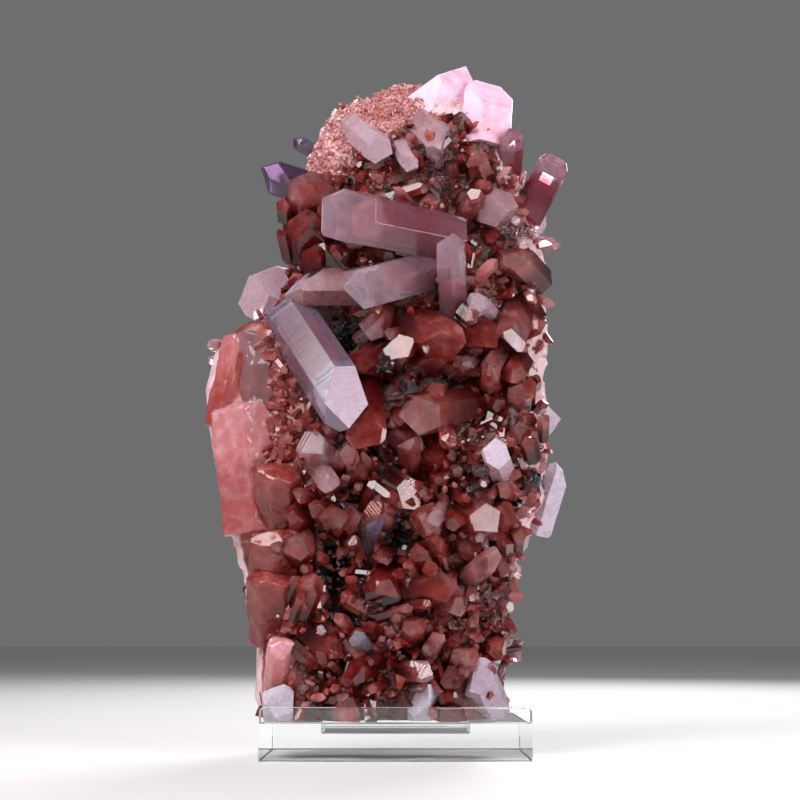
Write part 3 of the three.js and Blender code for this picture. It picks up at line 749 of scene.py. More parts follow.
def addCrystal(heap, crystal, slots=(0, 0, 0), broken=False, shrink=1.0, shorten=1.0):
    # slots gives the material of the sides, the ends and the leading end face
    root, seed = crystal["root"], crystal["seed"]
    turned, length = crystalPlace(crystal["tip"], root)
    form = (crystal["width"], crystal["flat"], crystal["roll"], crystal["lead"])
    corners, faces, kinds = crystalShape(length, *form, broken, seed)
    if shrink != 1.0:
        axisPoint = corners[:, :2].mean(axis=0)
        corners[:, :2] = axisPoint + (corners[:, :2] - axisPoint) * shrink
        corners[:, 2] *= shorten
    placed = np.array([root + turned @ Vector(c) for c in corners])
    kept = [(face, kind) for face, kind in zip(faces, kinds) if face]
    placed, faces, kinds = clearOfStand(placed, [f for f, _ in kept], [k for _, k in kept])
    kept = [(face, kind) for face, kind in zip(faces, kinds) if face]
    slotOf = {"base": slots[0], "side": slots[0], "end": slots[1], "lead": slots[2]}
    heights = (placed - np.array(root)) @ np.array(turned.col[2])
    along = [max(0.0, h / length) for h in heights]
    grown = [h + 40 * chance(seed, 21) for h in heights]  # so that no two crystals have the same growth steps
    faceSlots = [slotOf[kind] for _, kind in kept]
    heap.add(placed.tolist(), [face for face, _ in kept], faceSlots, crystal["tone"], along, grown)


# The named crystals: tip, root, width, flat, roll, lead, finish, tone

crystals = {
    "lilacBlade": ((349, 429, -37), (278, 319, -20), 15, 0.72, 14, 0, "lilac", 0.3),
    "summitLilac": ((322, 199, -35), (466, 229, -25), 15.5, 0.7, 8, 1, "mauve", 0.44),
    "rosePoint": ((342, 288, -35), (462, 256, -25), 11.5, 0.8, 10, 4, "mauve", 0.54),
    "bandedRed": ((284, 296, -22), (372, 296, -17), 11, 0.9, 5, 2, "pearl", 0.15),
    "uprightLilac": ((453, 233, -36), (459, 322, -26), 8.4, 0.9, 20, 0, "mauve", 0.52),
    "paleSide": ((249, 276, -8), (322, 302, -2), 18, 0.8, 12, 3, "pearl", 0.95),
    "violetSide": ((261, 168, -9), (318, 186, -4), 10.4, 0.85, 10, 0, "violet", 0.3),
    "sliverSide": ((293, 139, -4), (326, 160, -2), 4.4, 0.9, 0, 1, "violet", 0.6),
    "summitWhite": ((466, 66, -6), (430, 176, -3), 25, 0.85, -24, 0, "milky", 0.55),
    "summitRight": ((476, 80, -11), (470, 160, -12), 14.5, 0.9, 24, 1, "milky", 0.55),
    "summitShoulder": ((349, 108, -10), (392, 174, -6), 19, 0.8, 30, 2, "milky", 0.2),
    "pinkLozenge": ((381, 160, -27), (346, 128, -13), 8.4, 0.8, 0, 0, "pearl", 0.8),
    "summitChunk": ((441, 150, -25), (404, 112, -12), 11, 0.8, 15, 5, "pearl", 0.45),
    "summitPeg": ((460, 111, -19), (462, 142, -14), 5, 1, 10, 1, "clear", 0.4),
    "clearLath": ((450, 199, -31), (415, 170, -19), 5.2, 0.9, 20, 0, "clear", 0.8),
    "clearKnob": ((415, 168, -27), (401, 143, -16), 4.6, 1, 0, 2, "pearl", 0.7),
    "glintKnob": ((434, 151, -26), (441, 173, -17), 3.8, 1, 15, 3, "clear", 0.7),
    "redWedge": ((475, 152, -27), (492, 196, -16), 6.6, 0.9, 12, 4, "garnet", 0.5),
    "tallShoulder": ((509, 128, -19), (505, 194, -11), 8.4, 0.9, -10, 5, "mauve", 0.3),
    "phantomSide": ((550, 153, -12), (514, 222, -10), 8.6, 0.9, 8, 1, "mauve", 0.35),
    "glintPairA": ((503, 229, -29), (516, 233, -18), 4.2, 1, 10, 0, "clear", 0.7),
    "glintPairB": ((524, 230, -27), (532, 234, -16), 4.2, 1, 40, 2, "clear", 0.5),
    "paleShoulder": ((546, 216, -8), (516, 240, -4), 6.6, 1, 20, 3, "pearl", 0.7),
    "sideSpike": ((561, 244, -10), (522, 254, -6), 5, 0.9, 0, 0, "rose", 0.6),
    "longSlant": ((481, 190, -30), (449, 240, -22), 5.2, 0.9, 24, 1, "rose", 0.3),
    "pinkSquare": ((503, 256, -28), (537, 292, -13), 9.4, 0.9, 30, 2, "rose", 0.35),
    "paleBlock": ((472, 299, -32), (496, 324, -19), 6.6, 1, 10, 5, "pearl", 0.7),
    "lilacDrop": ((504, 338, -30), (520, 288, -17), 9, 0.9, 25, 3, "rose", 0.4),
    "redDrop": ((541, 334, -20), (508, 306, -14), 8.2, 0.9, 0, 4, "garnet", 0.5),
    "redCapped": ((466, 343, -33), (406, 318, -22), 11.6, 0.85, 15, 2, "garnet", 0.4),
    "clearDrop": ((407, 394, -31), (417, 354, -19), 5, 1, 10, 1, "clear", 0.8),
    "pinkPlates": ((399, 416, -33), (474, 402, -20), 10.4, 0.85, 35, 0, "rose", 0.3),
    "darkShield": ((380, 444, -36), (372, 372, -20), 10.4, 0.75, 10, 1, "garnet", 0.25),
    "darkRed": ((352, 372, -27), (408, 334, -17), 9.4, 0.8, 0, 5, "garnet", 0.2),
    "clearBead": ((388, 367, -31), (383, 347, -19), 3.4, 1, 0, 3, "clear", 0.9),
    "thinRed": ((515, 338, -26), (520, 374, -16), 4.2, 0.9, 20, 2, "garnet", 0.5),
    "ovalRed": ((494, 367, -29), (493, 396, -18), 5, 0.9, 10, 0, "garnet", 0.6),
    "rosyPoint": ((412, 438, -32), (415, 486, -20), 6.2, 0.9, 30, 4, "rose", 0.3),
    "frostedPoint": ((495, 438, -29), (512, 482, -17), 7.5, 0.9, 15, 1, "pearl", 0.6),
    "clearRound": ((475, 470, -30), (500, 466, -19), 4.2, 1, 0, 5, "clear", 0.6),
    "redLath": ((499, 489, -26), (534, 493, -15), 4.4, 0.9, 10, 3, "garnet", 0.5),
    "stickA": ((478, 542, -29), (476, 494, -21), 2.6, 1, 0, 0, "rose", 0.7),
    "stickB": ((487, 550, -28), (486, 496, -21), 2, 1, 30, 2, "rose", 0.6),
    "stickC": ((495, 540, -27), (492, 500, -20), 2.3, 1, 10, 4, "rose", 0.5),
    "stickD": ((466, 488, -29), (502, 483, -21), 2.4, 1, 0, 1, "clear", 0.4),
    "pinkPeg": ((428, 523, -30), (447, 496, -20), 4.6, 0.9, 15, 0, "rose", 0.6),
    "orangeLath": ((497, 548, -30), (450, 586, -19), 5.6, 0.9, 5, 2, "rose", 0.5),
    "lilacShard": ((375, 512, -29), (362, 554, -19), 6.4, 0.9, 25, 5, "lilac", 0.1),
    "palePlateA": ((297, 446, -31), (344, 486, -20), 7.4, 0.6, 20, 1, "rose", 0.6),
    "palePlateB": ((333, 490, -32), (306, 448, -20), 5.4, 0.7, 0, 3, "rose", 0.7),
    "greyPink": ((347, 520, -28), (306, 498, -20), 6.4, 0.85, 10, 2, "rose", 0.3),
    "orangePeg": ((347, 444, -30), (364, 482, -19), 4.6, 0.9, 30, 0, "garnet", 0.7),
    "whiteFoot": ((428, 684, -21.5), (429, 726, -10), 8.6, 0.8, 0, 0, "frost", 0.9),
    "whiteHeel": ((284, 684, -21), (287, 726, -10), 8.6, 0.8, 30, 1, "frost", 0.7),
    "lilacFoot": ((478, 658, -23), (500, 706, -11), 9.6, 0.8, 12, 5, "frost", 0.45),
    "redBeadA": ((468, 651, -27), (470, 680, -17), 5.2, 1, 0, 3, "garnet", 0.6),
    "redBeadB": ((447, 672, -26), (474, 697, -16), 6, 0.9, 20, 4, "rose", 0.2),
    "orangeBead": ((442, 634, -28), (428, 666, -19), 4, 0.9, 10, 0, "garnet", 0.7),
    "paleBead": ((450, 621, -27), (461, 651, -18), 4.4, 1, 25, 2, "clear", 0.5),
    "pinkBead": ((494, 610, -25), (499, 636, -15), 4, 1, 0, 1, "clear", 0.4),
    "lilacBeadA": ((353, 635, -25), (370, 652, -16), 4.6, 1, 15, 5, "lilac", 0.6),
    "lilacBeadB": ((353, 661, -24), (358, 692, -16), 3.6, 0.9, 0, 0, "lilac", 0.6),
    "salmonStep": ((281, 638, -21), (277, 698, -15), 8.6, 0.8, 0, 0, "salmon", 0.4),
    "salmonBlock": ((247, 397, -14), (261, 534, -12), 21, 0.9, 24, 3, "salmon", 0.42),
    "orangeCrown": ((241, 334, -13), (221, 430, -21), 10, 1, 14, 2, "salmon", 0.3),
    "smokyBack": ((256, 328, -15), (262, 412, -25), 11, 0.9, 5, 4, "smoky", 0.6),
    "redGlaze": ((279, 466, -26), (277, 534, -19), 12.5, 0.7, 12, 5, "glaze", 0.35),
    "greyLensA": ((274, 530, -21.5), (272, 586, -16), 13, 0.7, 30, 1, "glaze", 0.38),
    "greyLensB": ((268, 572, -20.5), (272, 644, -15), 13, 0.7, 10, 0, "glaze", 0.35),
    "rimLumpLow": ((556, 462, -5), (534, 534, -3), 6.4, 1, 10, 2, "frost", 0.8),
    "rimLumpHigh": ((561, 419, -5), (524, 426, -3), 9, 1, 30, 4, "frost", 0.8),
}
wornOnes = ("salmonStep", "salmonBlock", "orangeCrown", "smokyBack", "redGlaze", "greyLensA", "greyLensB")
frostedEnds = ("lilacBlade", "rosePoint", "bandedRed", "frostedPoint", "paleBlock")
rootDepth = 4.5  # how deep a root lies in the rock at least, in mm

named = {}
for order, (name, (tip, root, width, flat, roll, lead, finish, tone)) in enumerate(crystals.items()):
    inside = frontSkin(spot(*root).x, spot(*root).z)[0].y + rootDepth
    named[name] = {
        "tip": spot(*tip),
        "root": spot(root[0], root[1], max(root[2], inside)),
        "width": width,
        "flat": flat,
        "roll": roll,
        "lead": lead,
        "finish": finish,
        "tone": tone,
        "seed": order + 1,
    }
print("named crystals:", len(named))


def nearNamed(point, margin):
    for crystal in named.values():
        axis = crystal["tip"] - crystal["root"]
        share = max(0.0, min(1.0, (point - crystal["root"]).dot(axis) / axis.length_squared))
        near = crystal["root"] + axis * share
        near.y = point.y
        if (near - point).length < crystal["width"] / 2 + margin:
            return True
    return False


def makeNamedCrystals():
    groups = {}
    for name, crystal in named.items():
        if name not in wornOnes:
            groups.setdefault(crystal["finish"], []).append(name)
    for finish, names in groups.items():
        heap = Heap()
        for name in names:
            addCrystal(heap, named[name], (0, 0, 1) if name in frostedEnds else (0, 0, 0))
        piece = heap.piece(f"crystals_{finish}", [finishes[finish], finishes["frost"]])
        bevelEdges(piece, 0.24, 2)
        dress(piece, "quartz_cluster")


# the red core of a crystal, as shares of its width and its length
phantoms = {
    "lilacBlade": (0.62, 0.66),
    "summitLilac": (0.7, 0.8),
    "rosePoint": (0.72, 0.72),
    "bandedRed": (0.75, 0.66),
    "uprightLilac": (0.7, 0.55),
    "phantomSide": (0.75, 0.6),
    "tallShoulder": (0.75, 0.7),
    "orangeLath": (0.75, 0.6),
    "lilacDrop": (0.7, 0.65),
    "pinkSquare": (0.75, 0.75),
    "pinkPlates": (0.7, 0.6),
    "rosyPoint": (0.7, 0.7),
    "frostedPoint": (0.6, 0.5),
    "longSlant": (0.7, 0.7),
    "sideSpike": (0.7, 0.5),
}
phantomTone = 0.4


def makePhantoms():
    heap = Heap()
    for name, (shrink, shorten) in phantoms.items():
        addCrystal(heap, {**named[name], "tone": phantomTone}, shrink=shrink, shorten=shorten)
    dress(heap.piece("phantom_cores", [finishes["phantom"]]), "quartz_cluster")


makeNamedCrystals()
makePhantoms()
print("named crystals and their phantoms made")

worn = {
    "voxel": 0.5,
    "smoothing": 9,
    "swell": 0.6,  # broad swellings in mm
    "swellScale": 0.14,
    "drawnIn": -0.25,
    "pits": 0.2,  # depth in mm
    "pitScale": 0.9,
}


def addWornBlock(heap, block):
    # a broken block with rounded, pitted faces in place of sharp ones
    solo = Heap()
    addCrystal(solo, block, broken=True)
    made = show("block", newMesh("block", solo.points, solo.faces))
    remesh = made.modifiers.new("remesh", "REMESH")
    remesh.voxel_size = worn["voxel"] * mm
    smooth = made.modifiers.new("smooth", "SMOOTH")
    smooth.iterations = worn["smoothing"]
    mesh = finished(made)
    axis = block["tip"] - block["root"]
    points, along = [], []
    for vertex in mesh.vertices:
        here = vertex.co / mm
        swell = noise.fractal(here * worn["swellScale"], 1.0, 2.0, 3) * worn["swell"] + worn["drawnIn"]
        pits = -abs(noise.noise(here * worn["pitScale"])) * worn["pits"]
        moved = here + vertex.normal * (swell + pits)
        moved.z = max(moved.z, footZ)
        points.append(moved)
        along.append(max(0.0, min(1.0, (here - block["root"]).dot(axis) / axis.length_squared)))
    faces = [list(p.vertices) for p in mesh.polygons]
    heap.add(points, faces, [0] * len(faces), block["tone"], along, [a * 10 for a in along])
    bpy.data.meshes.remove(mesh)


def makeWornBlocks():
    for finish in ("salmon", "smoky", "glaze"):
        heap = Heap()
        for name in wornOnes:
            if named[name]["finish"] == finish:
                addWornBlock(heap, named[name])
        piece = heap.piece(f"blocks_{finish}", [finishes[finish]])
        piece.data.polygons.foreach_set("use_smooth", [True] * len(piece.data.polygons))
        dress(piece, "quartz_cluster")


makeWornBlocks()
print("worn blocks made")

# The rock

rock = {
    "turns": 280,
    "rows": 270,
    "topZ": float(levels[-1, 0]),
    "facet": 5.5,  # size of the broken facets
    "tilt": 2.2,  # how far a facet slopes
    "step": 1.3,  # how far one facet lies under the next
    "grain": 0.45,  # how fine the small unevenness is
    "grainDepth": 0.55,
    "sunk": 0.5,  # how deep the surface lies under the skin
    "highest": -0.3,
    "smoothLobe": 0.97,
    "patchGrain": 0.075,
}
# column and row along the lower edge of the summit's sugary crust
crustEdge = [(300, 196), (340, 182), (370, 152), (400, 130), (440, 120), (500, 128), (520, 142)]
lobeShares = [(500, 1.0), (560, 0.5), (630, 0.5), (660, 0.9)]  # row, and how salmon the lobe is there
# column, row and radius of the dark hollows, which get painted shade in the rock's colour and black specks
darkSpots = [
    (342, 348, 38),
    (368, 360, 22),
    (330, 562, 30),
    (345, 618, 26),
    (320, 650, 24),
    (385, 480, 16),
    (395, 535, 14),
    (535, 480, 16),
    (440, 385, 14),
    (462, 372, 12),
]
# column, row, half width, half height and strength of the spots without fine growth
bareSpots = {"summit": (466, 96, 34, 30, 1.6), "whiteFoot": (428, 706, 24, 26, 1.9)}
# how much of the growth of small crystals each place takes away
thinning = {"lobe": 3, "dark": 0.75, "high": 0.7, "rimFine": 0.8, "rimMedium": 0.9, "crust": 0.9}
# Where a zone of the rock begins, and over how much it grows to the full. Depths and heights are in mm, rows
# and columns in pixels, rims in shares of the half width, and a negative width grows the other way.
zones = {
    "back": (-6, 8),
    "front": (-4, -8),
    "behind": (-4, 4),
    "farBack": (10, -3),
    "paleRim": (0.74, 0.1),
    "paleRimRows": (600, -60),
    "leftRim": (-0.9, -0.06),
    "leftRimRows": (330, 20),
    "bareRim": (0.8, 0.1),
    "lobe": (0, 14),
    "lobeRows": (318, 10),
    "crust": (0, 16),
    "cleft": (262, 10),
    "sparseRows": (480, -60),
    "lowGrowth": (11, 3),
    "lowCrystals": (13, 3),
    "aboveRest": (standSpace["restTop"], 4),
    "patch": (0.08, 0.12),  # of the noise that lays out the patches
}


def inZone(value, name):
    start, width = zones[name]
    return np.clip((value - start) / width, 0, 1)


def inSpot(column, row, name):
    # 1 in the middle of an oval spot of the view, and less outwards
    middleColumn, middleRow, wide, high, strength = bareSpots[name]
    share = np.exp(-(((column - middleColumn) / wide) ** 2) - ((row - middleRow) / high) ** 2)
    return np.clip(share * strength, 0, 1)


def between(value, pairs):
    return np.interp(value, [first for first, _ in pairs], [second for _, second in pairs])


def rockMarks(points):
    # how pale, salmon, dark and overgrown the rock is at each of its points
    x, y, z = points[:, 0], points[:, 1], points[:, 2]
    column, row = seen(x, y, z)
    middle, half, _, _ = sectionAt(z)
    across = (x - middle) / half
    back, front = inZone(y, "back"), inZone(y, "front")

    crust = inZone(between(column, crustEdge) - row, "crust")
    leftRim = inZone(across, "leftRim") * inZone(row, "leftRimRows")
    rim = np.maximum(inZone(across, "paleRim") * inZone(row, "paleRimRows"), leftRim)
    pale = np.clip(np.maximum(np.maximum(back, crust), rim), 0, 1)
    lobe = inZone(between(row, lobeEdge) - column, "lobe") * inZone(row, "lobeRows")
    lobe = lobe * between(row, lobeShares) * (1 - back)
    # dark hollows: painted shade in the rock's colour, fewer small crystals, and black specks
    dark = 0.0
    for c, r, radius in darkSpots:
        dark = dark + np.exp(-((column - c) ** 2 + (row - r) ** 2) / (radius * radius))
    dark = np.clip(dark, 0, 1) * (1 - back)

    # small crystals keep off the lobe, the summit and the white foot, and stand thinner in the dark and on the rim
    offSummit = 1 - inSpot(column, row, "summit")
    crust = crust * front * offSummit
    free = (1 - np.clip(lobe * thinning["lobe"], 0, 1)) * (1 - thinning["dark"] * dark) * offSummit
    free = free * (1 - inSpot(column, row, "whiteFoot"))
    rightRim = inZone(across, "bareRim")
    sparse = mix(1.0, 1.0 - thinning["high"], inZone(row, "sparseRows"))
    underCrust = 1 - thinning["crust"] * crust
    grow = front * free * inZone(z, "lowGrowth") * sparse * (1 - thinning["rimFine"] * rightRim) * underCrust
    medium = front * free * inZone(z, "lowCrystals") * (1 - thinning["rimMedium"] * rightRim) * underCrust

    # patches of small crystals on the back, clear of the back rest
    places = (Vector(p) * rock["patchGrain"] + Vector((5, 0, 0)) for p in points)
    cloud = np.array([noise.fractal(at, 0.8, 2.0, 3) for at in places])
    clearOfRest = np.maximum(inZone(z, "aboveRest"), inZone(y, "farBack"))
    patch = inZone(cloud, "patch") * inZone(y, "behind") * clearOfRest * inZone(z, "lowCrystals")
    cleft = lobe * front * inZone(column, "cleft")
    marks = {"pale": pale, "lobe": lobe, "dark": dark, "back": back}
    return {**marks, "grow": grow, "medium": medium, "crust": crust, "patch": patch, "cleft": cleft}


def brokenDepth(point, roughShare):
    # how deep the broken surface lies under the smooth skin: tilted facets with small unevenness, in mm
    _, cells = noise.voronoi(Vector(point / rock["facet"]))
    cell = cells[0]
    tilt = Vector((chance(cell.x * 7, 1) - 0.5, chance(cell.y * 7, 2) - 0.5, chance(cell.z * 7, 3) - 0.5))
    slope = (Vector(point / rock["facet"]) - cell).dot(tilt) * rock["tilt"]
    plane = slope + chance(cell.x + cell.y * 3, 4) * rock["step"]
    small = noise.fractal(Vector(point) * rock["grain"], 0.9, 2.1, 4) * rock["grainDepth"]
    return max(rock["highest"], rock["sunk"] + (plane + small) * roughShare)


def makeRock():
    turns = np.linspace(0, 2 * math.pi, rock["turns"], endpoint=False)
    heights = np.linspace(footZ, rock["topZ"], rock["rows"])
    allTurns, allZ = np.meshgrid(turns, heights)
    x, y = skin(allTurns, allZ)
    middle = sectionAt(allZ)[0]
    points = np.stack([x, y, allZ], axis=-1).reshape(-1, 3)
    inward = np.stack([middle - x, outlineDepth - y, np.zeros_like(x)], axis=-1).reshape(-1, 3)
    inward /= np.linalg.norm(inward, axis=1)[:, None]
    marks = rockMarks(points)
    roughShares = 1 - rock["smoothLobe"] * marks["lobe"]
    depths = np.array([brokenDepth(point, share) for point, share in zip(points, roughShares)])
    pushed = points + inward * depths[:, None]
    pushed[: rock["turns"], 2] = footZ
    rows, count = rock["rows"], rock["turns"]
    faces = []
    for i in range(rows - 1):
        for j in range(count):
            k = (j + 1) % count
            faces.append((i * count + j, i * count + k, (i + 1) * count + k, (i + 1) * count + j))
    faces.append(tuple(range(count))[::-1])
    faces.append(tuple((rows - 1) * count + j for j in range(count)))
    mesh = newMesh("matrix", pushed.tolist(), faces)
    for key, values in marks.items():
        setMark(mesh, key, values.tolist())
    mesh.materials.append(finishes["rock"])
    return dress(show("matrix", mesh), "quartz_cluster")


rockPiece = makeRock()
print("rock made:", len(rockPiece.data.polygons), "faces")

# Medium crystals, by the same rule as the CAD source

fill = {
    "topRow": 150,
    "bottomRow": 712,
    "topPitch": 11.5,
    "bottomPitch": 8.8,
    "topWidthShare": 1.14,
    "bottomWidthShare": 0.56,
    "widenBy": 1.6,  # how fast the width grows with the height
    "bottomDepth": -18,
    "size": (0.72, 0.6),
    "lengthShare": 0.88,
    "length": (0.75, 0.5),
    "flat": (0.8, 0.2),
    "lean": 1.3,
    "sunk": 3,
    "clearance": -0.4,
    "reach": 0.82,
    "jitter": 0.55,
    "aboveFoot": 2.5,
    "roseFrom": 0.6,  # of a draw from 0 to 1, with garnet below it
    "pearlFrom": 0.97,
    "coreWidth": 0.76,  # of the phantom core, in the crystal's own width and length
    "coreLength": (0.55, 0.3),
}
flank = {
    "sideCount": 20,
    "backCount": 10,
    "sidePitch": 4,
    "backPitch": 7,
    "widthShare": 0.7,
    "sideSpread": 0.9,
    "sideTurn": -0.1,
    "backSpread": 1.1,
    "lean": 0.9,
    "tone": (0.6, 0.3),
    "clearance": -2,
    "aboveRest": 64,  # the back is free up to here
    "bareRim": (285, 500),  # rows of the right rim without stubby crystals
}
satellites = {
    "count": 4,
    "width": (0.3, 0.6),
    "length": (0.4, 0.9),
    "flat": 0.85,
    "spread": 0.35,
    "roseFrom": 0.6,
}
# places of the front without medium crystals: column, row and radius in pixels
clearSpots = [(292, 180, 24), (344, 345, 30), (335, 562, 26), (345, 618, 20), (440, 98, 62), (338, 140, 36)]
clearSpots.append((428, 703, 20))  # the white foot crystal shows whole here, in the CAD solid less so


def inClearSpot(point):
    column, row = seen(point.x, point.y, point.z)
    return any(math.hypot(column - c, row - r) < radius for c, r, radius in clearSpots)


def leaning(facing, seed, lean):
    tangentA = (Vector((1, 0, 0)) - facing * facing.x).normalized()
    tangentB = facing.cross(tangentA)
    turn = 2 * math.pi * chance(seed, 1)
    amount = lean * math.sqrt(chance(seed, 2))
    return (facing + tangentA * math.cos(turn) * amount + tangentB * math.sin(turn) * amount).normalized()


def toneAt(point, seed):
    # paler towards the summit
    row = seen(point.x, point.y, point.z)[1]
    base = 0.34 + 0.12 * max(0.0, min(1.0, (200 - row) / 80))
    return base + 0.36 * (chance(seed, 31) - 0.5)


def addFillCrystal(heap, point, direction, pitch, widthShare, seed, tone, shrink=1.0, shorten=1.0):
    size = vary(fill["size"], chance(seed, 3))
    out = fill["lengthShare"] * pitch * size * vary(fill["length"], chance(seed, 4))
    crystal = {
        "tip": point + direction * out,
        "root": point - direction * fill["sunk"],
        "width": widthShare * pitch * size,
        "flat": vary(fill["flat"], chance(seed, 5)),
        "roll": 60 * chance(seed, 6),
        "lead": math.floor(12 * chance(seed, 8)),
        "tone": tone,
        "seed": seed,
    }
    addCrystal(heap, crystal, shrink=shrink, shorten=shorten)


def addSatellites(heaps, point, direction, pitch, widthShare, seed):
    # smaller crystals that stand close round a medium one and grew almost parallel to it
    size = pitch * vary(fill["size"], chance(seed, 3))
    tangentA = direction.orthogonal().normalized()
    tangentB = direction.cross(tangentA)
    for k in range(satellites["count"]):
        own = seed * 7 + k
        turn = 2 * math.pi * (k + chance(own, 41)) / satellites["count"]
        side = tangentA * math.cos(turn) + tangentB * math.sin(turn)
        width = widthShare * size * mix(*satellites["width"], chance(own, 42))
        out = fill["lengthShare"] * size * mix(*satellites["length"], chance(own, 43))
        foot = point + side * (0.5 * widthShare * size + 0.2 * width)
        aim = (direction + side * satellites["spread"] * (chance(own, 44) - 0.2)).normalized()
        crystal = {
            "tip": foot + aim * out,
            "root": foot - aim * fill["sunk"],
            "width": width,
            "flat": satellites["flat"],
            "roll": 60 * chance(own, 46),
            "lead": math.floor(12 * chance(own, 47)),
            "tone": toneAt(point, own),
            "seed": own,
        }
        addCrystal(heaps["garnet" if chance(own, 45) < satellites["roseFrom"] else "rose"], crystal)


def frontFill(heaps):
    topZ = spot(viewpoint["middle"], fill["topRow"], frontDepth).z
    bottomZ = spot(viewpoint["middle"], fill["bottomRow"], fill["bottomDepth"]).z
    seed, z = 1000, bottomZ
    while z < topZ:
        height = (z - bottomZ) / (topZ - bottomZ)
        pitch = mix(fill["bottomPitch"], fill["topPitch"], height)
        widening = min(1.0, fill["widenBy"] * height)
        widthShare = mix(fill["bottomWidthShare"], fill["topWidthShare"], widening)
        row = mix(fill["bottomRow"], fill["topRow"], height)
        middle, half, _, _ = sectionAt(z)
        x = max(spot(float(between(row, lobeEdge)), row, frontDepth).x, middle - half * fill["reach"])
        end = middle + half * fill["reach"]
        while x < end:
            seed += 1
            jitterX = pitch * fill["jitter"] * (chance(seed, 9) - 0.5)
            jitterZ = pitch * fill["jitter"] * (chance(seed, 10) - 0.5)
            point, facing = frontSkin(min(x + jitterX, end), z + jitterZ)
            x += pitch
            tooLow = point.z < footZ + fill["aboveFoot"]
            if tooLow or nearNamed(point, fill["clearance"]) or inClearSpot(point):
                continue
            draw = chance(seed, 33)
            finish = "garnet" if draw < fill["roseFrom"] else "rose" if draw < fill["pearlFrom"] else "pearl"
            aim = leaning(facing, seed, fill["lean"])
            addFillCrystal(heaps[finish], point, aim, pitch, widthShare, seed, toneAt(point, seed))
            addSatellites(heaps, point, aim, pitch, widthShare, seed)
            if finish == "rose":
                core = (fill["coreWidth"], vary(fill["coreLength"], chance(seed, 35)))
                addFillCrystal(heaps["phantom"], point, aim, pitch, widthShare, seed, phantomTone, *core)
        z += pitch


def flankFill(heap):
    # stubby crystals on both sides, every second one at the left, and then some on the back
    lowZ, highZ = levels[1, 0] + 4, levels[-4, 0]
    lobeTopZ = levels[11, 0]  # the left side is the smooth lobe up to here
    for i in range(flank["sideCount"] + flank["backCount"]):
        seed = 5000 + i
        onBack = i >= flank["sideCount"]
        z = mix(lowZ, highZ, chance(seed, 12))
        turn = flank["sideSpread"] * (chance(seed, 13) - 0.5) + flank["sideTurn"]
        if onBack:
            turn = flank["backSpread"] * (chance(seed, 13) - 0.5) + 0.5 * math.pi
        elif i % 2 and z >= lobeTopZ:
            turn = math.pi - turn
        x, y = skin(np.array(turn), np.array(z))
        point = Vector((float(x), float(y), z))
        facing = Vector((point.x - float(sectionAt(z)[0]), point.y - outlineDepth, 0)).normalized()
        row = seen(point.x, point.y, point.z)[1]
        onBareRim = not onBack and point.x > 0 and flank["bareRim"][0] < row < flank["bareRim"][1]
        if nearNamed(point, flank["clearance"]) or onBareRim or (onBack and z < flank["aboveRest"]):
            continue
        aim = leaning(facing, seed, flank["lean"])
        pitch = flank["backPitch"] if onBack else flank["sidePitch"]
        tone = vary(flank["tone"], chance(seed, 31))
        addFillCrystal(heap, point, aim, pitch, flank["widthShare"], seed, tone)


mediumHeaps = {"garnet": Heap(), "rose": Heap(), "pearl": Heap(), "phantom": Heap()}
frontFill(mediumHeaps)
flankFill(mediumHeaps["rose"])
for finish, heap in mediumHeaps.items():
    piece = heap.piece(f"medium_{finish}", [finishes[finish]])
    if finish != "phantom":
        bevelEdges(piece, 0.13)
    dress(piece, "quartz_cluster")
print("medium crystals made")

seams = {
    "width": (0.9, 1.6),
    "out": (3.0, 5.5),
    "step": 1.1,
    "wander": 1.2,
    "lean": 0.35,
    "sunk": 2,
    "flat": 0.6,
    "depth": -24,
    "paths": [
        [(362, 408), (370, 440), (377, 466)],
        [(392, 514), (397, 542)],
        [(352, 360), (372, 352), (396, 372)],
        [(404, 560), (420, 575), (424, 600)],
        [(512, 452), (518, 478), (514, 506)],
        [(322, 545), (336, 575), (330, 610)],
    ],
}


def addSeamCrystal(heap, along, seed):
    point, facing = frontSkin(along.x + seams["wander"] * (chance(seed, 2) - 0.5), along.z)
    aim = leaning(facing, seed, seams["lean"])
    crystal = {
        "tip": point + aim * mix(*seams["out"], chance(seed, 3)),
        "root": point - aim * seams["sunk"],
        "width": mix(*seams["width"], chance(seed, 4)),
        "flat": seams["flat"],
        "roll": 60 * chance(seed, 5),
        "lead": 0,
        "tone": 0.5,
        "seed": seed,
    }
    addCrystal(heap, crystal)


def makeSeams():
    # thin black crystals that stand in rows on the rock, between the paler ones: black ore laid along the gaps,
    # standing in for the shade there
    heap = Heap()
    seed = 9000
    for path in seams["paths"]:
        for (startColumn, startRow), (endColumn, endRow) in zip(path, path[1:]):
            start = spot(startColumn, startRow, seams["depth"])
            end = spot(endColumn, endRow, seams["depth"])
            count = max(1, round((end - start).length / seams["step"]))
            for k in range(count):
                seed += 1
                addSeamCrystal(heap, start.lerp(end, (k + chance(seed, 1)) / count), seed)
    dress(heap.piece("black_seams", [finishes["black"]]), "quartz_cluster")


makeSeams()
print("black seams made")

# Fine growth, scattered over the rock by Geometry Nodes


def shapeCollection(name, lengths, seeds):
    # crystals one millimetre wide that a scatter picks from
    folder = bpy.data.collections.new(name)
    for length, seed in zip(lengths, seeds):
        flat = 0.45 + 0.5 * chance(seed, 5)
        corners, faces, _ = crystalShape(length, 1.0, flat, 20 * seed, seed % 6, False, seed)
        mesh = newMesh(f"{name}{seed}", corners, [f for f in faces if f])
        setMark(mesh, "along", [max(0.0, c[2] / length) for c in corners])
        setMark(mesh, "grown", [c[2] for c in corners])
        folder.objects.link(bpy.data.objects.new(f"{name}{seed}", mesh))
    return folder


def randomFloat(tree, low, high, seed, salt):
    made = addNode(tree, "FunctionNodeRandomValue", {2: low, 3: high}, data_type="FLOAT")
    tree.links.new(calc(tree, "ADD", seed, float(salt * 17)), made.inputs["Seed"])
    return made.outputs[1]


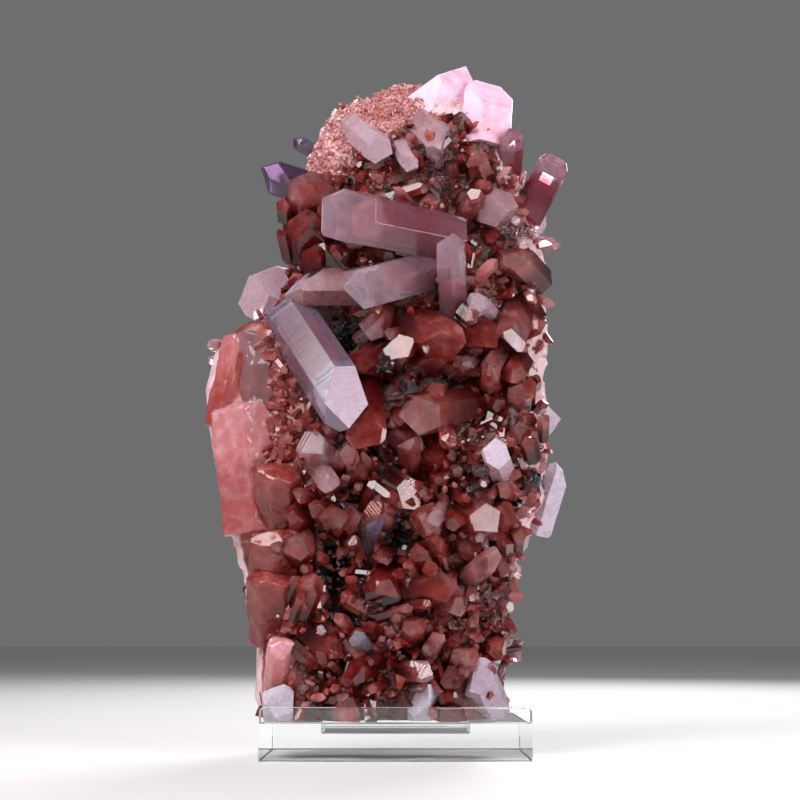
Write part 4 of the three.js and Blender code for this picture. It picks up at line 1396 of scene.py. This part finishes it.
def markOf(tree, name):
    return addNode(tree, "GeometryNodeInputNamedAttribute", {"Name": name}).outputs["Attribute"]


growthInputs = ("Per Square Metre", "Smallest", "Largest", "Lean", "Low Tone", "High Tone")
sunkShare = 0.5  # how deep a crystal stands in the rock, in its own widths


def scatterTree(name, folder, material, mask):
    tree = bpy.data.node_groups.new(name, "GeometryNodeTree")
    tree.interface.new_socket("Geometry", in_out="INPUT", socket_type="NodeSocketGeometry")
    for label in growthInputs:
        tree.interface.new_socket(label, in_out="INPUT", socket_type="NodeSocketFloat")
    tree.interface.new_socket("Seed", in_out="INPUT", socket_type="NodeSocketInt")
    tree.interface.new_socket("Geometry", in_out="OUTPUT", socket_type="NodeSocketGeometry")
    given = addNode(tree, "NodeGroupInput").outputs
    seed, lean = given["Seed"], given["Lean"]

    # points on the rock, as dense as its mark says
    density = calc(tree, "MULTIPLY", given["Per Square Metre"], markOf(tree, mask))
    inputs = {"Mesh": given["Geometry"], "Density": density, "Seed": seed}
    spread = addNode(tree, "GeometryNodeDistributePointsOnFaces", inputs)

    # each one leans away from the rock's own direction and is turned round itself
    back = calc(tree, "MULTIPLY", lean, -1.0)
    least = addNode(tree, "ShaderNodeCombineXYZ", {"X": back, "Y": back, "Z": -math.pi})
    most = addNode(tree, "ShaderNodeCombineXYZ", {"X": lean, "Y": lean, "Z": math.pi})
    inputs = {"Min": least.outputs[0], "Max": most.outputs[0], "Seed": seed}
    turn = addNode(tree, "FunctionNodeRandomValue", inputs, data_type="FLOAT_VECTOR")
    inputs = {"Rotation": spread.outputs["Rotation"], "Rotate By": turn.outputs["Value"]}
    aimed = addNode(tree, "FunctionNodeRotateRotation", inputs, rotation_space="LOCAL")

    size = randomFloat(tree, given["Smallest"], given["Largest"], seed, 1)
    inputs = {"Collection": folder, "Separate Children": True, "Reset Children": True}
    children = addNode(tree, "GeometryNodeCollectionInfo", inputs)
    inputs = {
        "Points": spread.outputs["Points"],
        "Instance": children.outputs["Instances"],
        "Pick Instance": True,
        "Rotation": aimed.outputs["Rotation"],
        "Scale": size,
    }
    placed = addNode(tree, "GeometryNodeInstanceOnPoints", inputs)
    down = addNode(tree, "ShaderNodeCombineXYZ", {"Z": calc(tree, "MULTIPLY", size, -sunkShare * mm)})
    inputs = {"Instances": placed.outputs[0], "Translation": down.outputs[0]}
    sunken = addNode(tree, "GeometryNodeTranslateInstances", inputs)

    drawn = randomFloat(tree, given["Low Tone"], given["High Tone"], seed, 2)
    tone = calc(tree, "MULTIPLY_ADD", markOf(tree, "pale"), 0.35, drawn)
    inputs = {"Geometry": sunken.outputs[0], "Name": "tone", "Value": tone}
    toned = addNode(tree, "GeometryNodeStoreNamedAttribute", inputs, data_type="FLOAT", domain="INSTANCE")
    real = addNode(tree, "GeometryNodeRealizeInstances", {"Geometry": toned.outputs[0]})
    dressed = addNode(tree, "GeometryNodeSetMaterial", {"Geometry": real.outputs[0], "Material": material})
    addNode(tree, "NodeGroupOutput", {"Geometry": dressed.outputs[0]})
    return tree


def keepClear(mesh):
    # nothing reaches into the stand or beyond the shelf's level
    points = np.empty(len(mesh.vertices) * 3)
    mesh.vertices.foreach_get("co", points)
    points = points.reshape(-1, 3)
    points[:, 2] = np.maximum(points[:, 2], footZ * mm)
    behindLip = points[:, 2] < standSpace["lipTop"] * mm
    points[behindLip, 1] = np.maximum(points[behindLip, 1], standSpace["lipBack"] * mm)
    besideRest = points[:, 2] < standSpace["restTop"] * mm
    points[besideRest, 1] = np.minimum(points[besideRest, 1], standSpace["restFront"] * mm)
    mesh.vertices.foreach_set("co", points.ravel())


def scatter(name, kind, seed):
    bed = show(name, rockPiece.data.copy())
    tree = scatterTree(name, shapes[kind["shapes"]], finishes[kind["finish"]], kind["on"])
    settings = dict(zip(growthInputs, (kind["count"], *kind["size"], kind["lean"], *kind["tone"])))
    settings["Seed"] = seed
    grown = bed.modifiers.new("growth", "NODES")
    grown.node_group = tree
    for item in tree.interface.items_tree:
        if item.in_out == "INPUT" and item.name in settings:
            grown[item.identifier] = settings[item.name]
    mesh = finished(bed)
    bpy.data.node_groups.remove(tree)
    keepClear(mesh)
    made = show(name, mesh)
    print(name, "made:", len(mesh.polygons), "faces")
    dress(made, "quartz_cluster")


shapes = {
    "long": shapeCollection("long", (2.4, 1.8, 3.2, 2.0, 2.7, 1.5, 3.6), (3, 5, 8, 13, 21, 34, 55)),
    "mid": shapeCollection("mid", (1.6, 2.0, 2.5, 1.3, 1.8), (2, 7, 11, 19, 23)),
    "short": shapeCollection("short", (1.5, 1.2, 1.8, 1.1), (4, 6, 9, 14)),
}
# "on" is the mark of the rock that it grows on, "count" is on a square metre, and "size" is the width in mm
growth = {
    "shards": {
        "shapes": "mid", "finish": "garnet", "on": "medium",
        "count": 60000.0, "size": (2.4, 4.8), "lean": 1.2, "tone": (0.1, 0.7),
    },
    "sprays": {
        "shapes": "long", "finish": "red", "on": "grow",
        "count": 75000.0, "size": (1.8, 4.6), "lean": 0.9, "tone": (0.1, 0.65),
    },
    "druse": {
        "shapes": "long", "finish": "red", "on": "grow",
        "count": 170000.0, "size": (0.9, 2.4), "lean": 1.1, "tone": (0.0, 0.65),
    },
    "sugar": {
        "shapes": "short", "finish": "red", "on": "grow",
        "count": 240000.0, "size": (0.4, 1.0), "lean": 1.2, "tone": (0.05, 0.95),
    },
    "specks": {
        "shapes": "short", "finish": "black", "on": "dark",
        "count": 240000.0, "size": (0.5, 1.3), "lean": 1.5, "tone": (0.0, 1.0),
    },
    "frosting": {
        "shapes": "short", "finish": "crust", "on": "crust",
        "count": 1300000.0, "size": (0.5, 1.4), "lean": 1.2, "tone": (-0.15, 0.25),
    },
    "backDruse": {
        "shapes": "short", "finish": "crust", "on": "patch",
        "count": 160000.0, "size": (0.6, 2.2), "lean": 1.1, "tone": (-0.5, 0.35),
    },
    "backPoints": {
        "shapes": "mid", "finish": "rose", "on": "patch",
        "count": 22000.0, "size": (1.6, 4.0), "lean": 1.0, "tone": (0.0, 0.4),
    },
    "cleftDruse": {
        "shapes": "mid", "finish": "glaze", "on": "cleft",
        "count": 480000.0, "size": (0.8, 3.2), "lean": 1.0, "tone": (0.25, 0.8),
    },
}
for order, (name, kind) in enumerate(growth.items()):
    scatter(name, kind, 7 + order)

# The stand

acrylic = {"Transmission Weight": 1.0, "IOR": 1.49, "Roughness": 0.02, "Base Color": (0.95, 0.97, 0.98, 1)}
stand = {
    "flatBelow": 2 * degrees,  # the CAD triangles of one flat face are joined
    "sharpFrom": 25 * degrees,
    "softEdge": 0.35,  # width of the rounded edges
}


def makeStand():
    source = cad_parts["acrylic_stand"]
    body = bmesh.new()
    body.from_mesh(source.data)
    bmesh.ops.remove_doubles(body, verts=body.verts[:], dist=1e-6)
    bmesh.ops.dissolve_limit(body, angle_limit=stand["flatBelow"], verts=body.verts[:], edges=body.edges[:])
    edges = [e for e in body.edges if e.is_manifold and e.calc_face_angle() > stand["sharpFrom"]]
    form = {"offset": stand["softEdge"] * mm, "segments": 2, "profile": 0.5}
    bmesh.ops.bevel(body, geom=edges, affect="EDGES", clamp_overlap=True, **form)
    mesh = bpy.data.meshes.new("stand")
    body.to_mesh(mesh)
    body.free()
    mesh.materials.append(newMaterial("clear acrylic", acrylic)[0])
    made = show("stand", mesh)
    made.visible_shadow = False  # light passes through clear acrylic and still reaches the floor under it
    dress(made, "acrylic_stand")


makeStand()
print("stand made")

# Floor, light and camera

studio = {
    "floorSize": 12000,
    "floor": {"Base Color": (0.8, 0.79, 0.78, 1), "Roughness": 0.6},
    "world": {"Color": (0.78, 0.78, 0.8, 1), "Strength": 0.2},
    "aimedAt": (0, 0, 95),
}
lights = {
    "key": {"from": (-300, -330, 460), "size": 340, "watts": 3.8, "colour": (1.0, 0.98, 0.98)},
    "fill": {"from": (460, -340, 200), "size": 280, "watts": 2.1, "colour": (0.97, 0.97, 1.0)},
    "spark": {"from": (90, -420, 330), "size": 125, "watts": 0.32, "colour": (1.0, 1.0, 1.0)},
    "rim": {"from": (150, 420, 380), "size": 300, "watts": 2.2, "colour": (1.0, 1.0, 1.0)},
}


def makeFloor():
    half = studio["floorSize"] / 2
    corners = [(-half, -half, 0), (half, -half, 0), (half, half, 0), (-half, half, 0)]
    mesh = newMesh("floor", corners, [(0, 1, 2, 3)])
    mesh.materials.append(newMaterial("floor", studio["floor"])[0])
    show("floor", mesh)


def makeLights():
    aimPoint = Vector(studio["aimedAt"]) * mm
    for name, settings in lights.items():
        lamp = bpy.data.lights.new(name, "AREA")
        lamp.energy = settings["watts"]
        lamp.size = settings["size"] * mm
        lamp.color = settings["colour"]
        made = show(name, lamp)
        made.location = Vector(settings["from"]) * mm
        made.rotation_euler = (aimPoint - made.location).to_track_quat("-Z", "Y").to_euler()
    world = bpy.data.worlds.new("studio")
    world.use_nodes = True
    for key, value in studio["world"].items():
        world.node_tree.nodes["Background"].inputs[key].default_value = value
    bpy.context.scene.world = world


def makeCamera():
    data = bpy.data.cameras.new("camera")
    data.sensor_width = 36
    data.lens = viewpoint["focal"] / (2 * viewpoint["middle"]) * data.sensor_width
    data.clip_start = 0.01
    made = show("camera", data)
    made.location = Vector((viewpoint["x"], viewpoint["y"], viewpoint["z"])) * mm
    made.rotation_euler = (math.pi / 2 + viewpoint["pitch"], 0, 0)
    bpy.context.scene.camera = made


makeFloor()
makeLights()
makeCamera()
bpy.context.scene.view_settings.view_transform = "Standard"
print("floor, lights and camera made")
